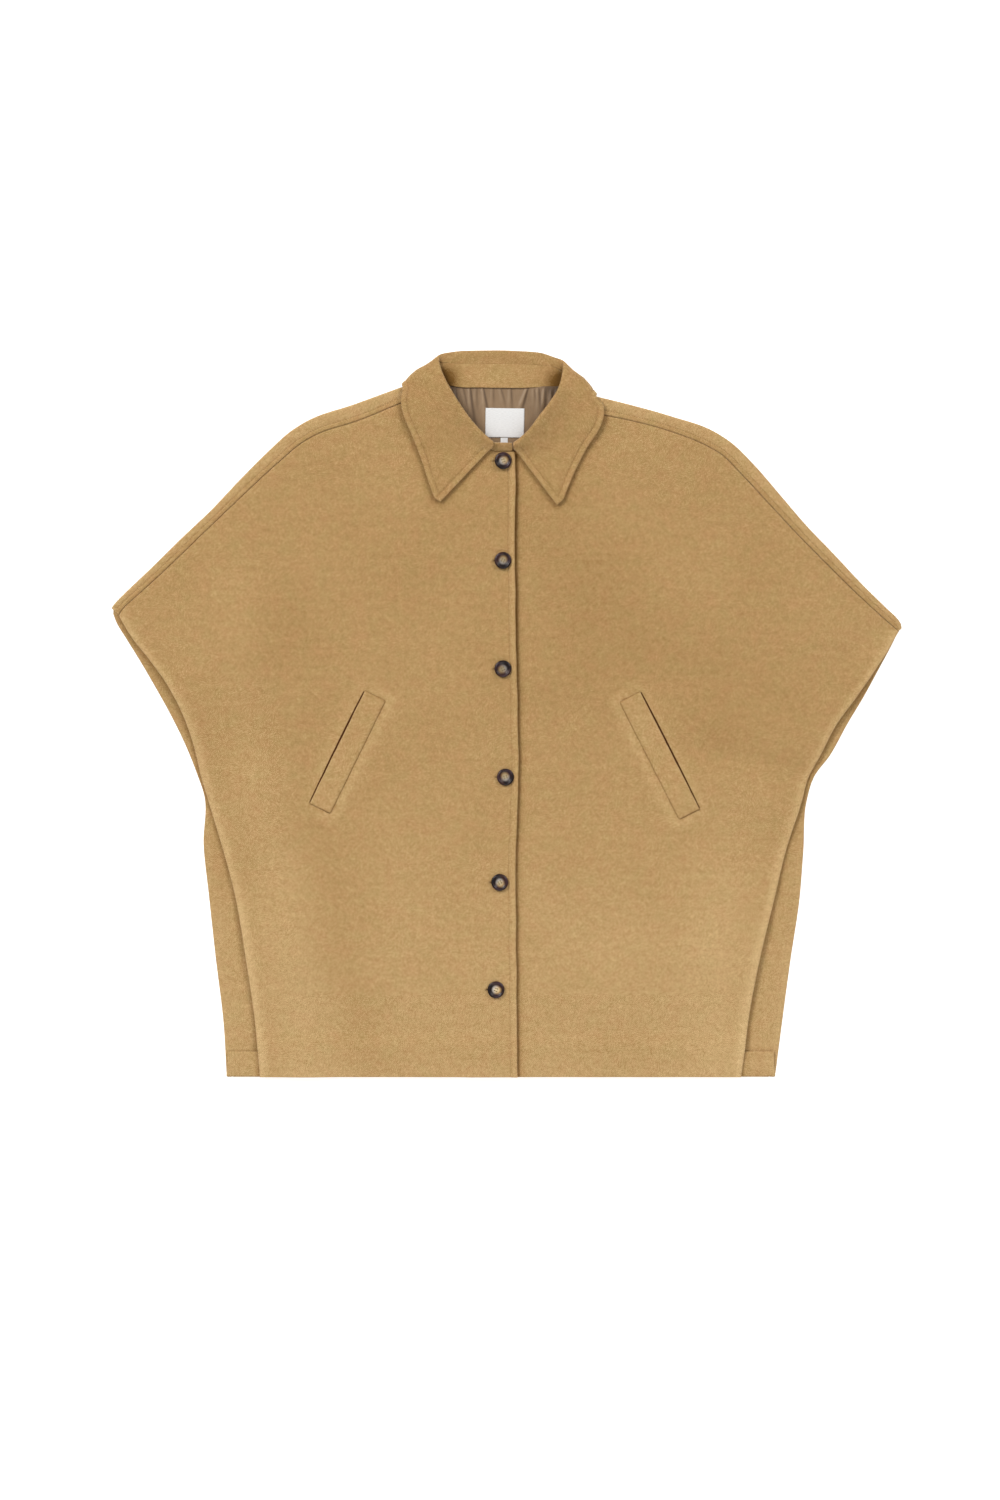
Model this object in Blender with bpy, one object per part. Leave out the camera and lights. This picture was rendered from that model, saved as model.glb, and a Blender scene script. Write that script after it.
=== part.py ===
"""Wool cape, laid flat on a surface with its front up.

Seven cut pieces of one heavy wool cloth (back, two fronts, collar fall, collar stand and two pocket
welts), a satin neck lining with a label and a size tab, and six sewn-through buttons. The back turns
up at its hem and wraps over both shoulders to a seam on the chest. The sides are open.

+X is the wearer's left, +Y points to the collar, +Z is up. Tables are in millimetres, and "right"
and "left" are always the wearer's. The origin is under the middle of the cape, on the surface.
"""
import math
from collections import namedtuple

import bmesh
import bpy
import numpy
from mathutils import Matrix, Vector

MM = 0.001

# %% Driving dimensions, in millimetres
CLOTH = 2.4              # wall of the wool cloth
GAP = 0.3                # clearance between pieces that are sewn together or lie on each other
SHOULDER_GAP = 0.4       # clearance along the shoulder seam
LAYER = 1.8              # air between the back and the fronts
LIFT = CLOTH + 0.4       # how far the collar under the back raises the neck
HEM_Y = -453.8           # the hem, level all the way across
HEM_TURN = 32.0          # depth of the turned-up hem inside the back
HEM_AIR = 0.9            # air inside the hem's fold
HEM_REACH = 42.0         # the fronts start to climb onto the hem turn this far above its edge
HEM_ON = 3.0             # and are on top of it from here
HEM_DRAW = 0.004         # share by which the turned edge is drawn in at its ends
UNDERLAP_X = -30.0       # the left front's edge, hidden under the right front
FOLD_STEPS = 6           # facets round each fold
NECK_MIDDLE = -8.0       # middle of the part that the collar under the back raises
NECK_REACH = (185.0, 128.0)            # how far out from there the raising starts and is whole
NECK_RISE = (330.0, 384.0)             # how far up the back it starts and is whole
BACK_COLUMNS = 20
FRONT_COLUMNS = 9
PLACKET_COLUMNS = (74.0, 52.0, 38.0, 24.0, 0.0)    # distances from the right front's free edge
PLACKET_START = -62.0    # the right front starts to climb onto the left front here
PLACKET_TOP = -41.0      # and is on top of it from here
OVERLAP_AIR = 0.4        # clearance between the two fronts where they lap
LEVEL_BELOW = -380.0     # sections of the fronts are level below this height, and tilt up above it
CORNER_LEVEL = 12.0      # height on the front edge of the section that ends at the wing tip
SIDE_AIR = 0.6           # air left under a front's open side, where it rests on the back
SIDE_SETTLE = 45.0       # width over which a front's open side settles on the back
TIP_SETTLE = 60.0        # height below the wing tip over which it rises again to the shoulder seam
NECK_SECTIONS = 5        # sections of a front over which its straight rows bend to the neck's curve
LINING = 1.0
LABEL_THICK = 0.5
LABEL_SIZE = (48.5, 36.4)
LABEL_CENTRE = (-2.1, 362.7)
LABEL_TURN = -0.8        # degrees
TAB_SIZE = (8.9, 7.8)
TAB_CENTRE = (-2.9, 340.2)
WELT_WIDTH = 29.0
WELT_THICK = 1.8
WELT_ROUND = 0.5
BUTTON_HOLE_RADIUS = 1.0
BUTTON_HOLE_PITCH = 4.4
BUTTON_SIDES = 24
HOLE_SIDES = 8
CUTTER_DEPTH = 12.0
BUTTON_SHARP = 50.0      # edges of a button that are steeper than this, in degrees, look sharp
BACK_NECK_CLEAR = 1.1    # between the back's neck edge and the stand that carries it on
NECK_CLEAR = 1.5         # between a front's neck edge and the stand that leans in from it
FOLD_CLEAR = 2.1         # between a shoulder fold's end and the stand that goes round it
LEAF_CLEAR = 0.9         # between a front and the collar leaf on it
LINING_CLEAR = 0.5       # between the back, its lining and the label, which all bend differently
SEAM_AIR = 0.5           # between the stand and the fall
FOLD_SEAM_AIR = 1.2      # the same where both turn round a side fold
STAND_SHARE = 0.65       # share of the collar's inner side that is stand, the rest is fall
ROLL_WIDTH = 2.8         # middle to middle across the collar's rolled edge
LEAF_STEPS = 8
SIDE_NORMAL_RIGHT = (-0.594, 0.806)    # the way the collar's side folds face, seen from above
SIDE_NORMAL_LEFT = (0.750, 0.661)

# %% Outlines: a row for each section, from the hem up
Side = namedtuple("Side", "right_x right_y left_x left_y")
BACK_SIDES = [
    Side(-349.6, -453.8, 335.6, -453.8),
    Side(-353.5, -387.0, 344.5, -385.0),
    Side(-363.0, -308.0, 355.0, -307.0),
    Side(-372.0, -226.0, 366.0, -233.0),
    Side(-378.5, -163.0, 371.0, -171.0),
    Side(-377.5, -103.0, 375.0, -110.0),
    Side(-386.5, -76.0, 384.0, -80.0),
    Side(-400.0, -42.0, 404.5, -52.0),
    Side(-421.0, 1.0, 425.5, -14.0),
    Side(-442.0, 38.5, 447.0, 22.0),
    Side(-459.0, 67.5, 466.0, 57.0),
    Side(-475.5, 94.0, 479.5, 82.0),
    Side(-488.0, 115.0, 488.5, 99.0),
]
FRONT_SIDES = [
    Side(-307.5, -453.8, 292.6, -453.8),
    Side(-310.5, -418.8, 297.5, -418.8),
    Side(-314.5, -380.0, 302.5, -380.0),
    Side(-325.0, -308.0, 316.0, -307.0),
    Side(-339.0, -226.5, 334.0, -233.0),
    Side(-356.0, -163.0, 349.0, -171.0),
    Side(-373.5, -105.0, 368.0, -112.0),
    Side(-382.0, -76.0, 377.0, -80.0),
    Side(-390.0, -42.0, 392.0, -52.0),
    Side(-405.0, 1.0, 410.5, -16.0),
    Side(-425.0, 38.5, 437.0, 21.0),
    Side(-446.0, 67.5, 462.0, 57.0),
    Side(-467.0, 94.0, 478.0, 82.0),
    Side(-483.0, 116.0, 486.5, 97.0),
]
# The shoulder from the wing tip to the neck: its folded edge, and the seam on the front of it.
Shoulder = namedtuple("Shoulder", "edge_x edge_y seam_x seam_y")
RIGHT_SHOULDER = [
    Shoulder(-493.0, 133.0, -487.5, 127.0),
    Shoulder(-486.0, 142.0, -476.0, 131.5),
    Shoulder(-447.0, 179.0, -436.8, 168.4),
    Shoulder(-408.0, 217.0, -398.0, 206.0),
    Shoulder(-369.0, 254.0, -359.0, 243.6),
    Shoulder(-333.0, 292.0, -321.3, 279.7),
    Shoulder(-296.0, 329.0, -283.4, 314.5),
    Shoulder(-269.0, 353.0, -256.3, 337.3),
    Shoulder(-248.0, 366.0, -241.4, 346.2),
    Shoulder(-191.0, 386.0, -183.8, 366.1),
    Shoulder(-132.0, 407.0, -125.0, 390.0),
    Shoulder(-95.0, 420.0, -89.0, 405.0),
]
LEFT_SHOULDER = [
    Shoulder(493.0, 110.5, 488.5, 104.0),
    Shoulder(484.0, 123.0, 475.5, 114.5),
    Shoulder(446.0, 160.0, 437.0, 150.5),
    Shoulder(410.0, 198.0, 399.4, 187.0),
    Shoulder(374.0, 235.5, 362.6, 224.5),
    Shoulder(341.0, 274.0, 327.5, 262.0),
    Shoulder(308.0, 312.0, 293.7, 298.4),
    Shoulder(280.0, 339.0, 267.8, 323.8),
    Shoulder(258.0, 353.0, 250.2, 334.0),
    Shoulder(205.0, 371.5, 199.2, 353.9),
    Shoulder(128.0, 392.0, 124.7, 371.6),
    Shoulder(88.0, 401.0, 73.0, 380.0),
]
# Neck edges of the three panels, and the free front edge that drifts a little in and out.
BACK_NECK = [(-80.0, 411.0), (-60.0, 407.6), (-4.0, 406.6), (45.0, 406.6), (70.0, 404.6)]
RIGHT_NECK = [(-77.0, 376.0), (-58.0, 351.0), (-36.0, 334.0), (-14.0, 326.5), (8.5, 326.0)]
LEFT_NECK = [(57.0, 357.0), (39.0, 337.0), (20.0, 329.0), (0.0, 326.5), (UNDERLAP_X, 326.0)]
Edge = namedtuple("Edge", "y x")
FRONT_EDGE = [
    Edge(-453.8, 13.6), Edge(-228.0, 11.6), Edge(-184.0, 11.0), Edge(-127.0, 13.6), Edge(-71.0, 15.3),
    Edge(17.0, 13.6), Edge(102.0, 11.6), Edge(217.0, 10.1), Edge(307.0, 12.0), Edge(326.0, 8.5),
]
# The collar, a row for each section: how far along the neck seam from the side fold it starts, its
# rolled edge, and its outer edge. The folds have one row for the layer on top and one for that under.
Collar = namedtuple("Collar", "seam roll_x roll_y roll_z edge_x edge_y")
RIGHT_COLLAR = [
    Collar(126.6, -15.5, 336.0, 17.0, -82.5, 263.5),
    Collar(113.0, -19.5, 340.0, 17.5, -90.5, 269.5),
    Collar(98.0, -29.0, 349.0, 17.5, -98.0, 291.0),
    Collar(76.0, -43.0, 364.0, 17.5, -106.5, 317.0),
    Collar(57.0, -57.5, 384.0, 16.5, -119.0, 349.0),
    Collar(38.0, -70.0, 404.0, 15.0, -128.5, 372.0),
    Collar(20.0, -79.0, 421.0, 13.5, -131.5, 391.0),
    Collar(8.0, -83.0, 433.0, 12.5, -130.5, 400.0),
]
RIGHT_FOLD = [Collar(0.0, -83.5, 441.0, 11.0, -127.5, 406.0),
              Collar(0.0, -78.0, 450.0, 4.0, -127.5, 406.0)]
BACK_COLLAR = [
    Collar(15.0, -68.0, 451.2, 4.0, -106.0, 400.5),
    Collar(35.3, -52.0, 451.7, 4.0, -76.0, 394.5),
    Collar(62.0, -30.0, 452.1, 4.0, -40.0, 391.0),
    Collar(91.3, -6.0, 452.2, 4.0, -4.0, 390.0),
    Collar(116.0, 16.0, 451.4, 4.0, 30.0, 390.0),
    Collar(140.3, 37.0, 450.0, 4.0, 60.0, 390.2),
    Collar(165.4, 53.5, 447.6, 4.0, 88.0, 391.2),
]
LEFT_FOLD = [Collar(0.0, 68.5, 436.0, 11.0, 108.8, 394.2),
             Collar(182.7, 65.0, 443.0, 4.0, 108.8, 394.2)]
LEFT_COLLAR = [
    Collar(5.0, 70.5, 427.0, 12.5, 114.0, 391.5),
    Collar(12.0, 69.5, 417.0, 13.5, 119.5, 386.5),
    Collar(23.0, 64.5, 404.0, 15.0, 121.5, 373.0),
    Collar(42.0, 54.0, 387.0, 16.5, 117.0, 357.0),
    Collar(64.0, 40.0, 369.0, 17.5, 101.0, 332.0),
    Collar(84.0, 27.0, 352.0, 17.5, 86.0, 303.0),
    Collar(99.0, 16.0, 342.0, 17.5, 71.0, 267.0),
    Collar(110.0, 8.5, 337.0, 17.0, 63.0, 259.5),
]
STAND_END = Vector((5.6, 333.0, 13.5))       # top corner of the stand, past the collar's front end
STAND_END_LEAN = 0.8                         # how much further its lower corner reaches
Strip = namedtuple("Strip", "y right_x left_x")
LINING_ROWS = [
    Strip(330.0, -20.0, 16.0), Strip(348.0, -38.0, 34.0), Strip(370.0, -57.0, 50.0),
    Strip(390.0, -70.0, 66.0), Strip(405.4, -80.0, 74.0),
]
Welt = namedtuple("Welt", "name x y length lean")
WELTS = [Welt("welt_right", -198.0, -48.3, 157.5, 26.1), Welt("welt_left", 190.8, -52.7, 165.0, -26.8)]
Button = namedtuple("Button", "x y")
BUTTONS = [Button(-4.1, 314.9), Button(-4.4, 190.6), Button(-4.4, 55.6), Button(-1.3, -79.4),
           Button(-8.4, -210.6), Button(-13.1, -344.4)]
# A button's turned profile: radius and height.
BUTTON_PROFILE = [(0.0, 0.0), (8.6, 0.0), (10.2, 1.0), (10.65, 2.2), (10.1, 3.6), (8.9, 4.2),
                  (7.7, 3.9), (6.9, 3.0), (5.4, 2.5), (0.0, 2.3)]


# %% Small helpers
def clear_scene():
    for item in list(bpy.data.objects):
        bpy.data.objects.remove(item, do_unlink=True)


def material(name, colour, roughness, metallic=0.0):
    finish = bpy.data.materials.new(name)
    finish.use_nodes = True
    shader = finish.node_tree.nodes["Principled BSDF"]
    shader.inputs["Base Color"].default_value = (*colour, 1.0)
    shader.inputs["Roughness"].default_value = roughness
    shader.inputs["Metallic"].default_value = metallic
    return finish


def ramp(value, start, end):
    """0 at start, 1 at end, with soft ends; start may be the larger of the two."""
    share = min(1.0, max(0.0, (value - start) / (end - start)))
    return share * share * (3.0 - 2.0 * share)


def edge_x(y):
    """Where the right front's free edge is at a height y."""
    return float(numpy.interp(y, [edge.y for edge in FRONT_EDGE], [edge.x for edge in FRONT_EDGE]))


def spread(points, shares):
    """Points at the given shares of a polyline's length."""
    steps = [(b - a).length for a, b in zip(points, points[1:])]
    found = []
    for share in shares:
        left = share * sum(steps)
        place = 0
        while place < len(steps) - 1 and left > steps[place]:
            left -= steps[place]
            place += 1
        found.append(points[place].lerp(points[place + 1], left / steps[place]))
    return found


def even(count):
    return [step / (count - 1) for step in range(count)]


def make_object(name, mesh, finish, smooth=True):
    data = bpy.data.meshes.new(name)
    mesh.to_mesh(data)
    mesh.free()
    data.materials.append(finish)
    if smooth:
        data.shade_smooth()
    item = bpy.data.objects.new(name, data)
    bpy.context.collection.objects.link(item)
    return item


def sheet(name, rows, finish, thickness=CLOTH):
    """A wall of cloth about rows of middle-surface points; None leaves a part of the grid out."""
    mesh = bmesh.new()
    columns = len(rows[0]) - 1
    bmesh.ops.create_grid(mesh, x_segments=columns, y_segments=len(rows) - 1, size=1.0)
    unused = []
    for vert in mesh.verts:
        column = round((vert.co.x + 1.0) / 2.0 * columns)
        row = round((vert.co.y + 1.0) / 2.0 * (len(rows) - 1))
        point = rows[row][column]
        if point is None:
            unused.append(vert)
        else:
            vert.co = point * MM
    bmesh.ops.delete(mesh, geom=unused, context="VERTS")
    item = make_object(name, mesh, finish)
    wall = item.modifiers.new("Cloth", "SOLIDIFY")
    wall.thickness = thickness * MM
    wall.offset = 0.0
    wall.use_even_offset = True
    return item


# %% Heights of the layers
def neck_lift(x, y):
    """How far the collar fold under the back raises everything near the neck."""
    return LIFT * ramp(y, *NECK_RISE) * ramp(abs(x - NECK_MIDDLE), *NECK_REACH)


def front_height(x, y, settle=1.0, raised=True):
    """Middle of a front: over the back's hem and, where it is raised, over the other front."""
    air = SIDE_AIR + (LAYER - SIDE_AIR) * settle
    hem_edge = HEM_Y + HEM_TURN
    air = max(air, (CLOTH + HEM_AIR + GAP) * ramp(y, hem_edge + HEM_REACH, hem_edge + HEM_ON))
    climb = (CLOTH + OVERLAP_AIR) * ramp(x, PLACKET_START, PLACKET_TOP) if raised else 0.0
    return CLOTH * 1.5 + air + climb + neck_lift(x, y)


def fold(centre, inward, radius, middle):
    """Points round a half-circle fold, from the lower layer to the upper one."""
    points = []
    for step in range(FOLD_STEPS + 1):
        turn = math.pi * step / FOLD_STEPS
        reach = centre - inward * (radius * math.sin(turn))
        points.append(Vector((reach.x, reach.y, middle - radius * math.cos(turn))))
    return points


# %% The back
def shoulder_wrap(station):
    """The back's fold over the shoulder and its strip on the front, from the lower layer out."""
    edge = Vector((station.edge_x, station.edge_y))
    seam = Vector((station.seam_x, station.seam_y))
    inward = (seam - edge).normalized()
    radius = (CLOTH + LAYER) / 2.0
    centre = edge + inward * (radius + CLOTH / 2.0)
    middle = CLOTH / 2.0 + radius + neck_lift(edge.x, edge.y)
    arc = fold(centre, inward, radius, middle)
    end = seam - inward * (SHOULDER_GAP / 2.0)
    halfway = centre.lerp(end, 0.5)
    strip = [Vector((point.x, point.y, arc[-1].z)) for point in (halfway, end)]
    return arc + strip


def back_rows():
    """Sections of the back from the top of its turned-up hem to the neck."""
    wrap_length = FOLD_STEPS + 2
    none = [None] * wrap_length
    shares = even(BACK_COLUMNS)
    rows = []
    hem_y = HEM_Y + HEM_AIR / 2.0 + CLOTH
    for side in [BACK_SIDES[0]._replace(right_y=hem_y, left_y=hem_y)] + BACK_SIDES[1:]:
        ends = [Vector((side.right_x, side.right_y)), Vector((side.left_x, side.left_y))]
        flat = [Vector((p.x, p.y, CLOTH / 2.0)) for p in spread(ends, shares)]
        rows.append(none + flat + none)
    for right, left in zip(RIGHT_SHOULDER, LEFT_SHOULDER):
        right_wrap = shoulder_wrap(right)
        left_wrap = shoulder_wrap(left)
        ends = [right_wrap[0].to_2d(), left_wrap[0].to_2d()]
        if right == RIGHT_SHOULDER[-1]:
            ends[1:1] = [Vector(point) for point in BACK_NECK]
        flat = [Vector((p.x, p.y, CLOTH / 2.0 + neck_lift(p.x, p.y))) for p in spread(ends, shares)]
        rows.append(right_wrap[:0:-1] + flat + left_wrap[1:])
    return hem_turn_rows(rows[0]) + rows


def hem_turn_rows(hem):
    """The hem folded up on the inside: the hem row, carried round the fold and up the panel."""
    radius = (CLOTH + HEM_AIR) / 2.0
    middle = CLOTH / 2.0 + radius
    up = Vector((0.0, 1.0))
    rows = []
    for point in hem:
        if point is None:
            rows.append([None] * (FOLD_STEPS + 1))
            continue
        centre = point.to_2d()
        arc = fold(centre, up, radius, middle)
        drawn_in = point.x * (1.0 - HEM_DRAW)
        rows.append([Vector((drawn_in, HEM_Y + HEM_TURN, arc[-1].z))] + arc[:0:-1])
    return [list(row) for row in zip(*rows)]


# %% The fronts
def front_rows(sides, shoulder, neck, inner_edge, columns, raised):
    """Sections of one front, from its open side and shoulder seam to its front edge."""
    outer = [(Vector(side), False) for side in sides]
    for station in shoulder:
        edge = Vector((station.edge_x, station.edge_y))
        seam = Vector((station.seam_x, station.seam_y))
        outer.append((seam + (seam - edge).normalized() * (SHOULDER_GAP / 2.0), True))
    corner = sides[-1][1]
    outer_heights = [HEM_Y, LEVEL_BELOW, corner, outer[-1][0].y]
    inner_heights = [HEM_Y, LEVEL_BELOW, CORNER_LEVEL, neck[-1][1]]
    neck_line = [outer[-1][0]] + [Vector(point) for point in neck]
    rows = []
    for place, (start, on_seam) in enumerate(outer):
        inner_y = float(numpy.interp(start.y, outer_heights, inner_heights))
        end = Vector((inner_edge(inner_y), inner_y))
        straight = spread([start, end], columns((end - start).length))
        length = sum((b - a).length for a, b in zip(neck_line, neck_line[1:]))
        curve = spread(neck_line, columns(length))
        chord = spread([neck_line[0], neck_line[-1]], columns((neck_line[-1] - neck_line[0]).length))
        dip = max(0.0, 1.0 - (len(outer) - 1 - place) / NECK_SECTIONS)
        row = []
        for point, bent, plain in zip(straight, curve, chord):
            spot = bent if dip == 1.0 else point + (bent - plain) * dip
            settle = 1.0 if on_seam else ramp((point - start).length, 0.0, SIDE_SETTLE)
            near_tip = ramp(start.y, corner - TIP_SETTLE, corner)
            height = front_height(spot.x, spot.y, max(settle, near_tip), raised)
            row.append(Vector((spot.x, spot.y, height)))
        rows.append(row)
    return rows


def right_columns(length):
    """Even columns over the chest, then columns where the front climbs to the closing."""
    return even_to(length - PLACKET_COLUMNS[0], length, FRONT_COLUMNS) + [
        (length - distance) / length for distance in PLACKET_COLUMNS[1:]]


def left_columns(length):
    return even_to(length, length, FRONT_COLUMNS + 2)


def even_to(reach, length, count):
    first = min(SIDE_SETTLE / 2.0, reach / 4.0)
    middle = [first + (reach - first) * step / (count - 2) for step in range(count - 1)]
    return [0.0] + [value / length for value in middle]


# %% The collar
def neck_spot(path, distance, on_front, raised):
    """The neck seam at a distance along a path of panel edges."""
    length = sum((b - a).length for a, b in zip(path, path[1:]))
    spot = spread(path, [min(1.0, distance / length)])[0]
    if on_front:
        return Vector((spot.x, spot.y, front_height(spot.x, spot.y, 1.0, raised)))
    return Vector((spot.x, spot.y, CLOTH / 2.0 + neck_lift(spot.x, spot.y)))


def collar_section(row, path, on_front, raised):
    """Points down the collar at one section: neck seam, stand seam, rolled edge and outer edge."""
    neck = neck_spot(path, row.seam, on_front, raised)
    roll = Vector((row.roll_x, row.roll_y, row.roll_z))
    rise = (roll - neck).normalized()
    over = Vector((0.0, 0.0, 1.0 if on_front else -1.0))
    over = (over - rise * over.dot(rise)).normalized()
    radius = ROLL_WIDTH / 2.0
    centre = roll - rise * radius + over * radius
    arc = []
    for step in range(FOLD_STEPS + 1):
        turn = math.pi * step / FOLD_STEPS
        arc.append(centre - over * (radius * math.cos(turn)) + rise * (radius * math.sin(turn)))
    leave = arc[-1]
    if on_front:
        leaf = leaf_points(leave, row, rise, raised)
    else:
        edge = Vector((row.edge_x, row.edge_y, CLOTH / 2.0))
        leaf = [leave.lerp(edge, step / LEAF_STEPS) for step in range(1, LEAF_STEPS + 1)]
    clear = NECK_CLEAR if on_front else BACK_NECK_CLEAR
    return {"neck": neck, "seam": neck.lerp(roll, STAND_SHARE), "rise": rise, "clear": clear,
            "fall": arc + leaf}


def leaf_points(leave, row, rise, raised):
    """The collar from its rolled edge down onto a front, and flat on it to the outer edge."""
    def lowest(x, y):
        return front_height(x, y, 1.0, raised) + CLOTH + LEAF_CLEAR

    edge = Vector((row.edge_x, row.edge_y, lowest(row.edge_x, row.edge_y)))
    dive = leave.z - rise.z * (edge - leave).length / 3.0
    points = []
    for step in range(1, LEAF_STEPS + 1):
        share = step / LEAF_STEPS
        rest = 1.0 - share
        place = leave.lerp(edge, share)
        height = rest ** 3 * leave.z + 3.0 * rest * rest * share * dive
        height += (3.0 * rest * share ** 2 + share ** 3) * edge.z
        points.append(Vector((place.x, place.y, max(height, lowest(place.x, place.y)))))
    return points


def turned(upper, lower, normal, shoulder):
    """Sections round a side fold, between the one on top of it and the one under it."""
    outward = Vector((*normal, 0.0))
    shoulder_outward = Vector((shoulder.edge_x - shoulder.seam_x, shoulder.edge_y - shoulder.seam_y, 0.0))
    shoulder_outward.normalize()
    halfway = (outward + shoulder_outward).normalized()
    sections = []
    for step in range(1, FOLD_STEPS):
        angle = math.pi / 2.0 - math.pi * step / FOLD_STEPS

        def around(top, bottom, way):
            half = (top - bottom) / 2.0
            middle = (top + bottom) / 2.0
            return middle + half * math.sin(angle) + way * (abs(half.z) * math.cos(angle))

        sections.append({
            "neck": around(upper["neck"], lower["neck"], shoulder_outward),
            "seam": around(upper["seam"], lower["seam"], halfway),
            "rise": (upper["rise"] + lower["rise"]).normalized(),
            "fall": [around(a, b, outward) for a, b in zip(upper["fall"], lower["fall"])],
        })
    return sections


def round_fold(upper, lower, normal, shoulder, neck_point):
    """The sections of one side fold, all clear of the shoulder fold's end and of the back's neck."""
    sections = [upper] + turned(upper, lower, normal, shoulder) + [lower]
    inward = Vector((shoulder.seam_x - shoulder.edge_x, shoulder.seam_y - shoulder.edge_y)).normalized()
    along = (Vector(neck_point) - lower["neck"].to_2d()).normalized()
    middle = inward + along
    side = math.copysign(1.0, shoulder.edge_x)
    for part in sections:
        part["clear"] = FOLD_CLEAR
        part["seam_air"] = FOLD_SEAM_AIR
        part["away"] = Vector((middle.y * side, -middle.x * side, 0.0)).normalized()
    return sections


def shoulder_fold_centre(station):
    return shoulder_wrap(station)[0].to_2d()


def collar_sections():
    """Every section of the collar, from its right front end round the back to its left front end."""
    right_centre = shoulder_fold_centre(RIGHT_SHOULDER[-1])
    left_centre = shoulder_fold_centre(LEFT_SHOULDER[-1])
    right_seam = Vector(RIGHT_SHOULDER[-1][2:])
    left_seam = Vector(LEFT_SHOULDER[-1][2:])
    right_path = [right_centre, right_seam] + [Vector(point) for point in RIGHT_NECK]
    left_path = [left_centre, left_seam] + [Vector(point) for point in LEFT_NECK]
    back_path = [right_centre] + [Vector(point) for point in BACK_NECK] + [left_centre]
    right_top, right_under = RIGHT_FOLD
    left_top, left_under = LEFT_FOLD
    start = [collar_section(row, right_path, True, True) for row in RIGHT_COLLAR + [right_top]]
    under = [collar_section(row, back_path, False, False)
             for row in [right_under] + BACK_COLLAR + [left_under]]
    end = [collar_section(row, left_path, True, False) for row in [left_top] + LEFT_COLLAR]
    right_fold = round_fold(start[-1], under[0], SIDE_NORMAL_RIGHT, RIGHT_SHOULDER[-1], BACK_NECK[0])
    left_fold = round_fold(end[0], under[-1], SIDE_NORMAL_LEFT, LEFT_SHOULDER[-1], BACK_NECK[-1])
    return start[:-1] + right_fold + under[1:-1] + left_fold[::-1] + end[1:]


def square_to_line(sections, key):
    """For each section, the way up the collar at right angles to the line through its key points."""
    ways = []
    for place, part in enumerate(sections):
        before = sections[max(0, place - 1)][key]
        after = sections[min(len(sections) - 1, place + 1)][key]
        along = (after - before).normalized()
        ways.append((part["rise"] - along * part["rise"].dot(along)).normalized())
    return ways


def make_collar(finish):
    sections = collar_sections()
    seam_ways = square_to_line(sections, "seam")
    neck_ways = square_to_line(sections, "neck")
    fall = []
    stand = []
    for part, seam_way, neck_way in zip(sections, seam_ways, neck_ways):
        foot = part["neck"] + part.get("away", neck_way) * part["clear"]
        half_air = part.get("seam_air", SEAM_AIR) / 2.0
        top = part["seam"] - seam_way * half_air
        stand.append([foot.lerp(top, share) for share in even(3)])
        fall.append([part["seam"] + seam_way * half_air] + part["fall"])
    corner = Vector((STAND_END.x + STAND_END_LEAN, stand[0][0].y, stand[0][0].z))
    stand.insert(0, [corner.lerp(STAND_END, share) for share in even(3)])
    sheet("collar_stand", stand, finish)
    sheet("collar_fall", fall, finish)


# %% Neck lining, label and size tab
def lining_height(x, y):
    return CLOTH + neck_lift(x, y) + LINING_CLEAR + LINING / 2.0


def make_lining(finish):
    rows = []
    for strip in LINING_ROWS:
        across = spread([Vector((strip.right_x, strip.y)), Vector((strip.left_x, strip.y))], even(9))
        rows.append([Vector((p.x, p.y, lining_height(p.x, p.y))) for p in across])
    sheet("back_neck_lining", rows, finish, LINING)


def make_tag(name, centre, size, turn, finish):
    """A thin rectangle that lies on the lining."""
    rows = []
    for down in even(4):
        row = []
        for across in even(3):
            spot = Vector(((across - 0.5) * size[0], (down - 0.5) * size[1]))
            spot.rotate(Matrix.Rotation(math.radians(turn), 2))
            spot += Vector(centre)
            height = lining_height(spot.x, spot.y) + (LINING + LABEL_THICK) / 2.0 + LINING_CLEAR
            row.append(Vector((spot.x, spot.y, height)))
        rows.append(row)
    sheet(name, rows, finish, LABEL_THICK)


# %% Welts
def make_welt(welt, finish):
    """A welt on a front, lying along its slant."""
    mesh = bmesh.new()
    bmesh.ops.create_cube(mesh, size=1.0)
    bmesh.ops.scale(mesh, vec=(WELT_WIDTH * MM, welt.length * MM, WELT_THICK * MM), verts=mesh.verts)
    item = make_object(welt.name, mesh, finish, smooth=False)
    top = front_height(welt.x, welt.y, 1.0, False) + CLOTH / 2.0
    item.location = (welt.x * MM, welt.y * MM, (top + GAP + WELT_THICK / 2.0) * MM)
    item.rotation_euler = (0.0, 0.0, -math.radians(welt.lean))
    soft = item.modifiers.new("Soft edge", "BEVEL")
    soft.width = WELT_ROUND * MM
    soft.segments = 2


# %% Buttons
def button_mesh():
    """A turned button with a raised rim, a dished middle and four sewing holes."""
    mesh = bmesh.new()
    verts = [mesh.verts.new((radius * MM, 0.0, height * MM)) for radius, height in BUTTON_PROFILE]
    for low, high in zip(verts, verts[1:]):
        mesh.edges.new((low, high))
    bmesh.ops.spin(mesh, geom=list(mesh.verts) + list(mesh.edges), cent=(0.0, 0.0, 0.0),
                   axis=(0.0, 0.0, 1.0), angle=2.0 * math.pi, steps=BUTTON_SIDES, use_merge=True)
    bmesh.ops.remove_doubles(mesh, verts=mesh.verts, dist=0.00001)
    bmesh.ops.recalc_face_normals(mesh, faces=mesh.faces)
    return mesh


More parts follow.
